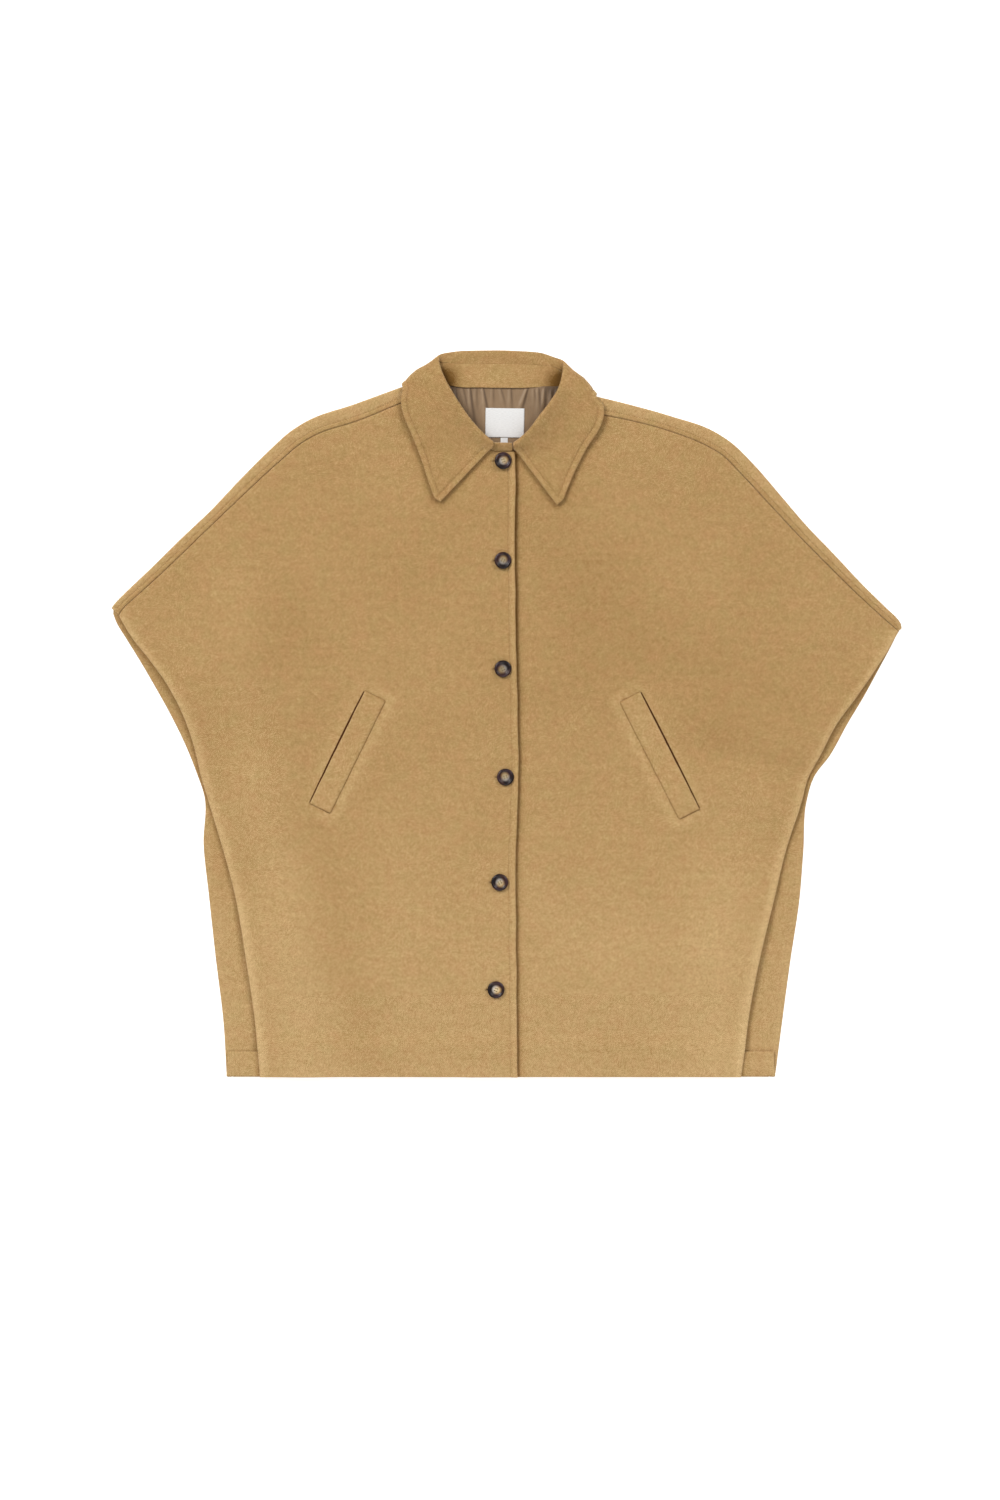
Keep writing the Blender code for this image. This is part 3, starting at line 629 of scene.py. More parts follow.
def wool(name):
    finish = Finish(name, 0.92, sheen_weight=0.3, sheen_roughness=0.4, specular_ior_level=0.15)
    cut = finish.node("ShaderNodeUVMap", {"uv_map": "cut"})
    painted_light = finish.node("ShaderNodeAttribute", {"attribute_name": "painted_light"}, output=2)
    split = finish.tree.nodes.new("ShaderNodeSeparateXYZ")
    finish.tree.links.new(cut.output, split.inputs[0])
    right = Number(finish, split.outputs["X"])
    up = Number(finish, split.outputs["Y"])
    unevenness = finish.noise(cut, 70.0, 1.0)
    across = right * math.cos(RIB_ANGLE) + up * math.sin(RIB_ANGLE)
    rib = (across * (2.0 * math.pi / RIB) + unevenness * 9.0).wave()
    yarns = finish.noise(cut, 820.0, 1.0)
    flecks = finish.noise(cut, 380.0, 2.0, 0.6, stretch=(1.0, 1.5, 1.0), turn=RIB_ANGLE)
    tufts = finish.noise(cut, 125.0, 3.0, 0.65)
    dyes = finish.noise(cut, 46.0, 3.0, 0.6)
    clouds = finish.noise(cut, 9.0, 3.0, 0.55)
    streaks = finish.noise(cut, 130.0, 2.0, 0.5, stretch=(8.0, 1.0, 1.0))
    fibres = finish.noise(cut, 1500.0, 1.0)
    body = finish.mix(dyes.within(0.25, 0.75), shade((175, 144, 91)), shade((182, 140, 92)))
    tone = (yarns - 0.5) * 1.5 + (flecks - 0.5) * 0.75 + (tufts - 0.5) * 0.6 + (rib - 0.5) * 0.16
    # The attribute adds its painted highlights and painted shade to the tone, which mixes towards a pale
    # and a dark wool colour.
    tone = tone + (clouds - 0.5) * 0.22 + (streaks - 0.5) * 0.16 + painted_light * 0.14
    body = finish.mix(tone.within(0.0, 1.0), body, shade((232, 199, 146)))
    body = finish.mix(tone.within(0.0, -1.0), body, shade((116, 82, 36)))
    finish.set("Base Color", body)
    finish.bump(rib * 0.4 + yarns * 0.6 + flecks * 0.5 + fibres * 0.2, 0.2 * MM, 0.7)
    return finish.material


camel_wool = wool("camel wool twill")
print("ribs to the centimetre:", round(0.01 / RIB, 1))

# %% [markdown]
# ## The two fronts
# Each front is one panel, from its open side and its shoulder seam to its front edge. A row of the
# grid runs straight across from a place on the outside to a place on the front edge, and the last
# rows bend to the curve of the neck. Columns are close together near the edges, where the cloth
# rounds off and where stitches press it down, and further apart on the chest. What happens along an
# edge, a ridge, a dip, a painted highlight or painted shade, is a soft band here: its size, how far
# in it is, its width.

# %% The fronts
LEVEL_BELOW = -380.0     # rows are level below this height and tilt up above it
CORNER_LEVEL = 12.0      # height on the front edge of the row that ends at the wing tip
SHOULDER_GAP = 0.3       # between the front and the strip of the back that it is sewn to
CLOSING_STITCH = 8.7     # distance of the closing's stitching from its edge
OPEN_STEPS = (*RIM_STEPS, 3.0, 5.0, 7.0, 9.5, 13.0, 18.0, 24.0, 31.0)
CLOSING_STEPS = (*RIM_STEPS, 3.0, 5.0, 7.0, 7.9, 8.7, 9.5, 10.6, 12.6, 16.0)
HEM_STEPS = (*RIM_STEPS, 3.0, 5.0)
UNDER_CLOSING = 13.0 - UNDERLAP_X    # about how far in the closing's edge lies over the left front
UNDER_STEPS = (*RIM_STEPS, *(UNDER_CLOSING + step for step in
                             (-12.0, -8.0, -5.0, -3.0, -1.5, 0.0, 1.2, 2.4, 3.6, 5.0, 7.0, 10.0, 14.0)))
CHEST_COLUMNS = 74
NECK_SHARE = 0.45        # last share of the shoulder over which the rows bend to the neck
WAIST_SETTLE = 60.0      # length below the wing tip over which the open side comes to the back
# Ridges and dips: a front sinks at its shoulder seam and at the edge of its open side, it stands off
# the back at the arm and at the slit below the waist, and its closing is pressed by the stitches.
SEAM_DIP = Band(0.9, 0.0, 1.7)
SIDE_DIP = Band(0.5, 0.0, 2.2)
ARM_GAPE = Band(4.4, 30.0, 62.0)
SLIT_GAPE = Band(3.6, -310.0, 120.0)
GAPE_REACH = 34.0
CLOSING_RISE = 2.6       # how far the folded edge of the closing stands up from the front under it
STITCH_PRESS = Band(0.7, CLOSING_STITCH, 1.0)
# Painted light and shade: painted highlights along the edges, and painted shadow on the left front
# where the closing shades it.
SEAM_LIGHT = Band(0.35, 0.0, 5.0)
SIDE_LIGHT = Band(2.2, 3.0, 7.5)
HEM_HIGHLIGHT = Band(0.5, 0.0, 13.0)
CLOSING_LIGHT = Band(1.0, 3.6, 3.6)
CLOSING_SHADE = Band(1.0, 0.9, 2.1)
CLOSING_SHADE_HAZE = Band(1.0, 4.0, 4.0)
WELT_LIGHT = 1.3


def edge_x(y):
    """Where the right front's free edge is at a height y, with the small waver of a pressed edge."""
    heights = [edge.y for edge in FRONT_EDGE]
    middles = [edge.x for edge in FRONT_EDGE]
    found = [float(numpy.interp(y + off, heights, middles)) for off in (-16.0, 0.0, 16.0)]
    return sum(found) / 3.0 + 0.7 * noise.noise(Vector((y / 34.0, 5.0, 0.0)))


def closing_rise(y, from_edge):
    """How far the closing stands up near its edge: more on the chest than at the hem."""
    most = CLOSING_RISE * (1.0 + 0.4 * ramp(y, -20.0, 120.0))
    return most * hump(max(0.0, from_edge - 2.0), 5.5)


def front_painted_light(spot, from_side, from_edge, on_shoulder, raised, pressed):
    """Painted light and shade on a front: highlights at its edges and round the welts, shadow beside the
    closing, and the broad patches.
    """
    light = (SEAM_LIGHT if on_shoulder else SIDE_LIGHT).at(from_side)
    if raised:
        light = max(light, (0.5 + 0.9 * ramp(spot.y, -100.0, 200.0)) * CLOSING_LIGHT.at(from_edge))
    else:
        beside = spot.x - edge_x(spot.y)
        # Painted shadow of the closing's edge on the left front.
        light -= (4.3 + 1.5 * ramp(spot.y, 0.0, 120.0)) * CLOSING_SHADE.at(beside)
        light -= CLOSING_SHADE_HAZE.at(beside)
    halo = WELT_LIGHT * welt_halo(spot.x, spot.y)
    light = max(light, HEM_HIGHLIGHT.at(spot.y - HEM_Y), halo) + min(light, 0.0)
    painted_patch_light = sum(crease_height(patch, spot.x, spot.y) for patch in LIGHT_AND_SHADE_PATCHES) + low_painted_light(spot.y)
    # Painted shade in the closing's stitch groove.
    return light - 0.4 * pressed + painted_patch_light


def front_rows(sides, shoulder, neck, inner_edge, inner_steps, raised):
    """The rows of one front's cells, from its hem to its neck."""
    seams = []
    for edge, seam in map(ends_of, shoulder):
        seams.append(seam + (seam - edge).normalized() * (SHOULDER_GAP / 2.0))
    last = len(seams) - 1
    outer = [(along(sides, place), 0.0) for place in places(sides, 5.0, start=HEM_STEPS)]
    outer += [(along(seams, place), place / last) for place in places(seams, 6.0)]
    corner = sides[-1].y
    outer_heights = [HEM_Y, LEVEL_BELOW, corner, seams[-1].y]
    inner_heights = [HEM_Y, LEVEL_BELOW, CORNER_LEVEL, neck[-1][1]]
    neck_line = curve([seams[-1]] + [Vector(point) for point in neck], 4.0)
    neck_shares = columns(length_of(neck_line), OPEN_STEPS, CHEST_COLUMNS, inner_steps)
    bent = spread(neck_line, neck_shares)
    plain = spread([neck_line[0], neck_line[-1]], neck_shares)
    rows = []
    for start, up_shoulder in outer:
        inner_y = float(numpy.interp(start.y, outer_heights, inner_heights))
        end = Vector((inner_edge(inner_y), inner_y))
        length = (end - start).length
        bend = ramp(up_shoulder, 1.0 - NECK_SHARE, 1.0)
        on_shoulder = up_shoulder > 0.0
        row = []
        shares = columns(length, OPEN_STEPS, CHEST_COLUMNS, inner_steps)
        for share, curved, chord in zip(shares, bent, plain):
            spot = start.lerp(end, share) + (curved - chord) * bend
            from_side = share * length
            from_edge = (1.0 - share) * length
            if on_shoulder:
                height = front_height(spot.x, spot.y, 1.0, raised) - SEAM_DIP.at(from_side)
            else:
                settle = ramp(from_side, 0.0, SIDE_SETTLE)
                settle = max(settle, ramp(start.y, corner - WAIST_SETTLE, corner))
                height = front_height(spot.x, spot.y, settle, raised)
                gape = ARM_GAPE.at(spot.y) + SLIT_GAPE.at(spot.y)
                height += gape * hump(from_side, GAPE_REACH) - SIDE_DIP.at(from_side)
            pressed = STITCH_PRESS.at(from_edge) if raised else 0.0
            if raised:
                height += closing_rise(spot.y, from_edge)
            rim = min(from_side, spot.y - HEM_Y, from_edge if raised else RIM)
            light = front_painted_light(spot, from_side, from_edge, on_shoulder, raised, pressed)
            point = Vector((spot.x, spot.y, height - pressed * 0.6))
            row.append(Cell(point, max(rim_thinning(rim), pressed * 0.5), light))
        rows.append(row)
    return rows


right_sides = [Vector((side.right_x, side.right_y)) for side in FRONT_SIDES]
left_sides = [Vector((side.left_x, side.left_y)) for side in FRONT_SIDES]
right_rows = front_rows(right_sides, RIGHT_SHOULDER, RIGHT_NECK, edge_x, CLOSING_STEPS, True)
left_rows = front_rows(left_sides, LEFT_SHOULDER, LEFT_NECK, lambda y: UNDERLAP_X, UNDER_STEPS, False)
right_front = finished(cloth("right_front", right_rows, camel_wool), "front_right")
left_front = finished(cloth("left_front", left_rows, camel_wool), "front_left")

# %% [markdown]
# ## The back
# The back lies under both fronts. At the hem it is folded up on the inside, and along each shoulder
# it is folded over to the front, where the seam is. So its grid has extra columns that go round the
# shoulder folds, and extra rows that go round the hem. The middle is hidden, and its cells are large.

# %% The back
FOLD_STEPS = 10
BACK_STEPS = (*RIM_STEPS, 3.0, 5.0, 6.4, 7.2, 8.0, 9.6, 12.0, 16.0, 21.0, 27.0, 34.0, 42.0)
BACK_COLUMNS = 56
STRIP_STEPS = (*RIM_STEPS, 2.6, 4.2, 5.3, 6.0, 6.7, 7.8)
HEM_STRIP_STEPS = (*RIM_STEPS, 4.0, 8.0, 16.0)
WRAP = FOLD_STEPS + len(STRIP_STEPS)     # columns that go round one shoulder
HEM_EASE = 0.996         # the turned-up strip is this much narrower, to stay inside the back's sides
SEAM_STITCH = 6.0        # distance of the shoulder's stitching from its seam
FACING_STITCH = Band(0.35, 7.2, 0.9)     # thins the wall in a faint line inside the open sides
STRIP_RIDGE = Band(0.75, 3.0, 2.6)       # the strip swells between its seam and its stitching
# Painted highlight along the back's sides, and painted shadow beside a front's side.
BACK_LIGHT = Band(0.6, 0.0, 9.0)         # lighter along its own sides
BESIDE_SHADE = Band(2.6, 0.0, 4.0)       # and darker where a front's side lies on it


def fold(centre, inward, radius, middle):
    """Points round a half-circle fold, from the lower layer to the upper one."""
    points = []
    for step in range(FOLD_STEPS + 1):
        turn = math.pi * step / FOLD_STEPS
        reach = centre - inward * (radius * math.sin(turn))
        points.append(Vector((reach.x, reach.y, middle - radius * math.cos(turn))))
    return points


def shoulder_wrap(edge, seam):
    """Cells of the back's fold over the shoulder and of its strip on the front."""
    inward = (seam - edge).normalized()
    radius = (CLOTH + LAYER) / 2.0
    centre = edge + inward * (radius + CLOTH / 2.0)
    arc = fold(centre, inward, radius, CLOTH / 2.0 + radius + neck_lift(edge.x, edge.y))
    end = seam - inward * (SHOULDER_GAP / 2.0)
    fit = min(1.0, 0.8 * (end - centre).length / STRIP_STEPS[-1])
    cells = [Cell(point) for point in arc]
    for distance in reversed(STRIP_STEPS):
        spot = end + (centre - end).normalized() * (distance * fit)
        pressed = hump(distance - SEAM_STITCH, 1.1)
        height = arc[-1].z + STRIP_RIDGE.at(distance) * fit - 0.5 * pressed
        point = Vector((spot.x, spot.y, height + relief(spot.x, spot.y) * 0.5))
        cells.append(Cell(point, max(rim_thinning(distance), 0.3 * pressed)))
    return cells


def hem_turn(row):
    """Rows of the hem's fold and of its strip up the inside of the back, from the back's first row."""
    radius = (CLOTH + HEM_AIR) / 2.0
    strips = []
    for cell in row:
        if cell is None:
            strips.append([None] * (len(HEM_STRIP_STEPS) + FOLD_STEPS))
            continue
        arc = fold(cell.point.to_2d(), Vector((0.0, 1.0)), radius, CLOTH / 2.0 + radius)
        x, z = cell.point.x * HEM_EASE, arc[-1].z
        strip = [Cell(Vector((x, HEM_Y + HEM_TURN - step, z)), max(rim_thinning(step), cell.thinning))
                 for step in HEM_STRIP_STEPS]
        strips.append(strip + [Cell(point, cell.thinning) for point in arc[:0:-1]])
    return [list(cells) for cells in zip(*strips)]


def side_rows():
    """Rows of the back from its hem to its wing tips."""
    rights = [Vector((side.right_x, side.right_y)) for side in BACK_SIDES]
    lefts = [Vector((side.left_x, side.left_y)) for side in BACK_SIDES]
    hem_y = HEM_Y + HEM_AIR / 2.0 + CLOTH
    rows = []
    for place in places(rights, 6.0):
        right, left = along(rights, place), along(lefts, place)
        if place == 0.0:
            right.y = left.y = hem_y
        elif min(right.y, left.y) < hem_y + 1.0:
            continue
        length = (right - left).length
        row = []
        for share in columns(length, BACK_STEPS, BACK_COLUMNS, BACK_STEPS):
            edge = min(share, 1.0 - share) * length
            point = Vector((*right.lerp(left, share), CLOTH / 2.0))
            row.append(Cell(point, max(rim_thinning(edge), FACING_STITCH.at(edge))))
        rows.append([None] * WRAP + row + [None] * WRAP)
    return rows


def shoulder_rows():
    """Rows of the back from its wing tips to its neck, with the wrap over each shoulder."""
    outlines = [list(zip(*map(ends_of, shoulder))) for shoulder in (RIGHT_SHOULDER, LEFT_SHOULDER)]
    right_edges = outlines[0][0]
    stops = places(right_edges, 7.0, start=RIM_STEPS)
    rows = []
    for place in stops:
        right, left = [shoulder_wrap(along(edges, place), along(seams, place))
                       for edges, seams in outlines]
        line = [right[0].point.to_2d(), left[0].point.to_2d()]
        if place == stops[-1]:
            line[1:1] = [Vector(point) for point in BACK_NECK]
        shares = columns(length_of(line), BACK_STEPS, BACK_COLUMNS, BACK_STEPS)
        flat = [Cell(Vector((p.x, p.y, CLOTH / 2.0 + neck_lift(p.x, p.y))))
                for p in spread(line, shares)]
        tip = rim_thinning((along(right_edges, place) - right_edges[0]).length)
        rows.append([cell._replace(thinning=max(cell.thinning, tip))
                     for cell in right[:0:-1] + flat + left[1:]])
    return rows


def back_painted_light(row, column):
    """Painted light and shade on the back: highlights at its edges and folds, and shadow beside a front.
    """
    inner = min(column, len(row) - 1 - column)
    if row[0] is not None and inner < WRAP:
        from_seam = STRIP_STEPS[inner] if inner < len(STRIP_STEPS) else 9.0
        return 1.5 * ramp(from_seam, 3.0, 9.0)
    point = row[column].point
    across = [cell.point.x for cell in row if cell]
    light = BACK_LIGHT.at(min(point.x - across[0], across[-1] - point.x)) + 1.3 * low_painted_light(point.y)
    beside = to_front_edge.find(Vector((point.x, point.y, 0.0)))[2]
    return light - BESIDE_SHADE.at(beside)


to_front_edge = edge_tree(*(level(curve(side, 5.0)) for side in (right_sides, left_sides)))
back_rows = side_rows()
back_rows = hem_turn(back_rows[0]) + back_rows + shoulder_rows()
back_rows = [[cell and cell._replace(light=back_painted_light(row, column)) for column, cell in enumerate(row)]
             for row in back_rows]
back = finished(cloth("back_panel", back_rows, camel_wool), "back")

# %% [markdown]
# ## The collar
# A shirt collar has two parts. The stand is a band that is sewn to the neck and stands up from it,
# and the fall is sewn to the top of the stand, rolls over and comes down over the fronts. Here the
# cape lies flat, so at the sides of the neck the whole collar folds over, and its back half lies
# under the back. The table has a row for each section across the collar, from the right front end
# round the back to the left front end, and the shape between the rows is the smooth curve.

# %% Sections across the collar
Collar = namedtuple("Collar", "seam roll_x roll_y roll_z edge_x edge_y")
RIGHT_COLLAR = [
    Collar(126.6, -16.5, 338.5, 17.0, -82.5, 263.5),
    Collar(113.0, -19.5, 340.5, 18.5, -90.5, 269.5),
    Collar(110.0, -21.4, 342.2, 18.8, -92.0, 273.8),
    Collar(98.0, -29.0, 349.0, 20.0, -98.0, 291.0),
    Collar(76.0, -43.0, 364.0, 21.5, -106.5, 317.0),
    Collar(57.0, -57.5, 384.0, 22.0, -119.0, 349.0),
    Collar(38.0, -70.0, 404.0, 20.5, -128.5, 372.0),
    Collar(20.0, -79.0, 421.0, 16.5, -131.5, 391.0),
    Collar(8.0, -83.0, 433.0, 12.5, -130.5, 400.0),
]
RIGHT_FOLD = [Collar(0.0, -83.5, 441.0, 10.0, -127.5, 406.0),
              Collar(0.0, -78.5, 450.6, 5.2, -127.5, 406.0)]
BACK_COLLAR = [
    Collar(15.0, -68.0, 451.9, 5.8, -106.0, 400.5),
    Collar(35.3, -52.0, 451.7, 6.0, -76.0, 394.5),
    Collar(62.0, -30.0, 452.1, 6.0, -40.0, 391.0),
    Collar(91.3, -6.0, 452.2, 6.0, -4.0, 390.0),
    Collar(116.0, 16.0, 451.4, 6.0, 30.0, 390.0),
    Collar(140.3, 37.0, 450.0, 6.0, 60.0, 390.2),
    Collar(165.4, 53.5, 447.6, 5.8, 88.0, 391.2),
]
LEFT_FOLD = [Collar(0.0, 68.5, 436.0, 11.0, 108.8, 394.2),
             Collar(182.7, 65.0, 443.0, 5.2, 108.8, 394.2)]
LEFT_COLLAR = [
    Collar(5.0, 70.5, 427.0, 12.5, 114.0, 391.5),
    Collar(12.0, 69.5, 417.0, 15.0, 119.5, 386.5),
    Collar(23.0, 64.5, 404.0, 19.0, 121.5, 373.0),
    Collar(42.0, 54.0, 387.0, 21.5, 117.0, 357.0),
    Collar(64.0, 40.0, 369.0, 22.0, 101.0, 332.0),
    Collar(84.0, 27.0, 352.0, 20.5, 86.0, 303.0),
    Collar(96.3, 18.0, 343.8, 19.3, 73.5, 273.3),
    Collar(99.0, 16.0, 342.0, 19.0, 71.0, 267.0),
    Collar(110.0, 8.5, 337.0, 17.5, 63.0, 259.5),
]
STAND_END = Vector((6.8, 337.0, 13.5))
STAND_SHARE = 0.65       # share of the collar's inner side that is stand, the rest is fall
END_SHARE = 0.88         # and at its right front end, where the fall stops short of the stand
FRONT_ROLL = 2.3         # radius of the rolled edge over the fronts
BACK_ROLL = 2.0          # and at the back
NECK_CLEAR = 1.5         # from the neck seam up to the stand's foot
BACK_NECK_CLEAR = 1.1
FOOT_RISE = 3.4          # at the back the stand's foot lies on the seam and over the lining
FOOT_DROP = 1.6          # and comes this far down over it
FOLD_CLEAR = 2.1
LEAF_CLEAR = 2.5         # air between a front and the leaf on it
SEAM_AIR = 0.1           # between stand and fall at their seam
FOLD_SEAM_AIR = 0.8
ARC_STEPS = 6
LEAF_STEPS = 8
SIDE_NORMAL_RIGHT = (-0.594, 0.806)    # the way the side folds face, seen from above
SIDE_NORMAL_LEFT = (0.750, 0.661)


def neck_spot(path, distance, on_front, raised):
    """The neck seam at a distance along a path of panel edges."""
    spot = spread(path, [min(1.0, distance / length_of(path))])[0]
    if on_front:
        return Vector((spot.x, spot.y, front_height(spot.x, spot.y, 1.0, raised)))
    return Vector((spot.x, spot.y, CLOTH / 2.0 + neck_lift(spot.x, spot.y)))


def leaf_points(leave, row, rise, raised):
    """The collar from its rolled edge down onto a front, and on it to the outer edge."""
    def lowest(x, y):
        return front_height(x, y, 1.0, raised) + CLOTH + LEAF_CLEAR + 1.8 * ramp(y, 320.0, 365.0)

    edge = Vector((row.edge_x, row.edge_y, lowest(row.edge_x, row.edge_y)))
    dive = leave.z - rise.z * (edge - leave).length / 3.0
    points = []
    for step in range(1, LEAF_STEPS + 1):
        share = step / LEAF_STEPS
        rest = 1.0 - share
        place = leave.lerp(edge, share)
        height = rest ** 3 * leave.z + 3.0 * rest * rest * share * dive
        height += (3.0 * rest * share ** 2 + share ** 3) * edge.z
        points.append(Vector((place.x, place.y, max(height, lowest(place.x, place.y)))))
    return points


def collar_section(row, path, on_front, raised, stand_share=STAND_SHARE):
    """Points down the collar at one section: neck seam, stand seam, rolled edge and outer edge."""
    neck = neck_spot(path, row.seam, on_front, raised)
    roll = Vector((row.roll_x, row.roll_y, row.roll_z))
    rise = (roll - neck).normalized()
    over = Vector((0.0, 0.0, 1.0 if on_front else -1.0))
    over = (over - rise * over.dot(rise)).normalized()
    radius = FRONT_ROLL if on_front else BACK_ROLL
    centre = roll - rise * radius + over * radius
    arc = []
    for step in range(ARC_STEPS + 1):
        turn = math.pi * step / ARC_STEPS
        arc.append(centre - over * (radius * math.cos(turn)) + rise * (radius * math.sin(turn)))
    leave = arc[-1]
    if on_front:
        leaf = leaf_points(leave, row, rise, raised)
    else:
        edge = Vector((row.edge_x, row.edge_y, CLOTH / 2.0))
        leave.z = max(leave.z, CLOTH / 2.0)
        leaf = [leave.lerp(edge, step / LEAF_STEPS) for step in range(1, LEAF_STEPS + 1)]
    clear = NECK_CLEAR if on_front else BACK_NECK_CLEAR
    return {"neck": neck, "seam": neck.lerp(roll, stand_share), "rise": rise, "clear": clear,
            "seam_air": SEAM_AIR, "away": None, "fall": arc + leaf}


# %% [markdown]
# ## The collar's side folds
# Between the section that lies on top and the one under it, the collar turns over like the fold of
# a sheet. The sections between go round a half circle that faces outwards, and they keep clear of
# the end of the shoulder's own fold.

# %% Side folds of the collar


def turned(upper, lower, normal, shoulder):
    """Sections round a side fold, between the one on top of it and the one under it."""
    outward = Vector((*normal, 0.0))
    shoulder_way = Vector((shoulder.edge_x - shoulder.seam_x, shoulder.edge_y - shoulder.seam_y, 0.0))
    shoulder_way.normalize()
    halfway = (outward + shoulder_way).normalized()
    aside = Vector((math.copysign(1.0, shoulder.edge_x), 0.15, 0.0))
    sections = []
    for step in range(1, ARC_STEPS):
        angle = math.pi / 2.0 - math.pi * step / ARC_STEPS

        def around(top, bottom, way, extra=0.0):
            half = (top - bottom) / 2.0
            middle = (top + bottom) / 2.0
            return middle + half * math.sin(angle) + way * ((abs(half.z) + extra) * math.cos(angle))

        sections.append({
            "neck": around(upper["neck"], lower["neck"], shoulder_way),
            "seam": around(upper["seam"], lower["seam"], halfway),
            "rise": (upper["rise"] + lower["rise"]).normalized(),
            "fall": [around(a, b, outward.lerp(aside, ramp(place, 12.0, 0.0)),
                            2.2 * ramp(place, 12.0, 4.0))
                     for place, (a, b) in enumerate(zip(upper["fall"], lower["fall"]))],
        })
    return sections


def round_fold(upper, lower, normal, shoulder, neck_point):
    """The sections of one side fold, all clear of the shoulder fold's end and of the back's neck."""
    sections = [upper] + turned(upper, lower, normal, shoulder) + [lower]
    inward = Vector((shoulder.seam_x - shoulder.edge_x, shoulder.seam_y - shoulder.edge_y)).normalized()
    middle = inward + (Vector(neck_point) - lower["neck"].to_2d()).normalized()
    side = math.copysign(1.0, shoulder.edge_x)
    for part in sections:
        part["clear"] = FOLD_CLEAR
        part["seam_air"] = FOLD_SEAM_AIR
        part["away"] = Vector((middle.y * side, -middle.x * side, 0.0)).normalized()
    return sections


def collar_sections():
    """Every section of the collar, from its right front end round the back to its left front end."""
    ends = []
    for shoulder, neck in ((RIGHT_SHOULDER[-1], RIGHT_NECK), (LEFT_SHOULDER[-1], LEFT_NECK)):
        edge, seam = ends_of(shoulder)
        centre = shoulder_wrap(edge, seam)[0].point.to_2d()
        ends.append([centre, seam] + [Vector(point) for point in neck])
    right_path, left_path = ends
    back_path = [right_path[0]] + [Vector(point) for point in BACK_NECK] + [left_path[0]]
    right_top, right_under = RIGHT_FOLD
    left_top, left_under = LEFT_FOLD
    start = [collar_section(row, right_path, True, True) for row in RIGHT_COLLAR + [right_top]]
    start[0] = collar_section(RIGHT_COLLAR[0], right_path, True, True, END_SHARE)
    under = [collar_section(row, back_path, False, False)
             for row in [right_under] + BACK_COLLAR + [left_under]]
    end = [collar_section(row, left_path, True, False) for row in [left_top] + LEFT_COLLAR]
    right_fold = round_fold(start[-1], under[0], SIDE_NORMAL_RIGHT, RIGHT_SHOULDER[-1], BACK_NECK[0])
    left_fold = round_fold(end[0], under[-1], SIDE_NORMAL_LEFT, LEFT_SHOULDER[-1], BACK_NECK[-1])
    return start[:-1] + right_fold + under[1:-1] + left_fold[::-1] + end[1:]


def square_to_line(sections, key):
    """For each section, the way up the collar at right angles to the line through its key points."""
    ways = []
    for place, part in enumerate(sections):
        before = sections[max(0, place - 1)][key]
        after = sections[min(len(sections) - 1, place + 1)][key]
        line = (after - before).normalized()
        ways.append((part["rise"] - line * part["rise"].dot(line)).normalized())
    return ways


sections = collar_sections()
print("sections round the collar:", len(sections))

# %% [markdown]
# ## The collar's surface
# The sections are a coarse net. A smooth curve is drawn through each of its lines, first along the
# collar and then across it, and the fine grid is read from those curves. Where two folds meet, at
# the neck's top corners, the grid is rounded off as pressed cloth is. The stitching runs 7.5 mm
# inside the edge, all round both leaves. It presses a groove, and leaves the edge a soft ridge.

# %% Fall and stand
COLLAR_STITCH = 7.5
LEAF_EDGE_STEPS = (*RIM_STEPS, 3.0, 4.6, 6.0, 6.8, 7.5, 8.2, 9.2, 11.0, 13.5)
LEAF_COLUMNS = 20
END_PLACES = (0.0, 0.02, 0.06, 0.12, 0.24, 0.38, 0.48, 0.56, 0.64, 0.76, 0.9)
SEAM_PLACES = (0.0, 0.015, 0.045, 0.09, 0.2, 0.4, 0.6, 0.8)
STAND_PLACES = (0.0, 0.012, 0.036, 0.07, 0.14, 0.26, 0.4, 0.55, 0.7, 0.82, 0.9, 0.95, 0.975, 0.99, 1.0)
LEAF_START = len(SEAM_PLACES) + 2 * ARC_STEPS    # the column where the roll ends and the leaf starts
FINE_STEP = 4.0          # between the fine sections along the collar
SEAM_THINNING = 0.2      # share of the rim's thinning at the seam between stand and fall
ROLL_CORNERS = [Vector((-83.0, 443.0, 10.0)), Vector((69.0, 437.0, 10.0))]
LEAF_CORNERS = [Vector((-128.0, 408.0, 6.0)), Vector((111.0, 396.0, 6.0))]
NECK_CORNERS = [Vector((-78.0, 416.0)), Vector((68.0, 412.0))]
# Painted shade in the neck's inner corners and on the fronts beside the collar, and a painted highlight
# along the collar's edge.
NECK_SHADE = Band(13.0, 0.0, 15.0)       # the dark in the two corners inside the neck
LEAF_SHADE = Band(2.6, 0.0, 5.5)         # the dark on the fronts beside the collar
LEAF_LIGHT = Band(0.5, 2.5, 3.2)         # painted highlight along the collar's edge
LEAF_RIDGE = Band(0.2, 3.8, 2.6)         # and swells between the edge and its stitching


def stops_along(net):
    """Places along the collar: close together at its front ends, and a step apart between."""
    last = len(net) - 1
    found = list(END_PLACES) + [last - place for place in END_PLACES]
    for low in range(1, last - 1):
        reach = max((a - b).length for a, b in zip(net[low], net[low + 1]))
        count = max(2, math.ceil(reach / FINE_STEP))
        found += [low + part / count for part in range(count)]
    found.append(float(last - 1))
    return sorted(set(found))


def smooth_sections(net):
    """Fine sections, on the smooth curves that run along the collar through the net's points."""
    lines = list(zip(*net))
    return [[along(line, place) for line in lines] for place in stops_along(net)]


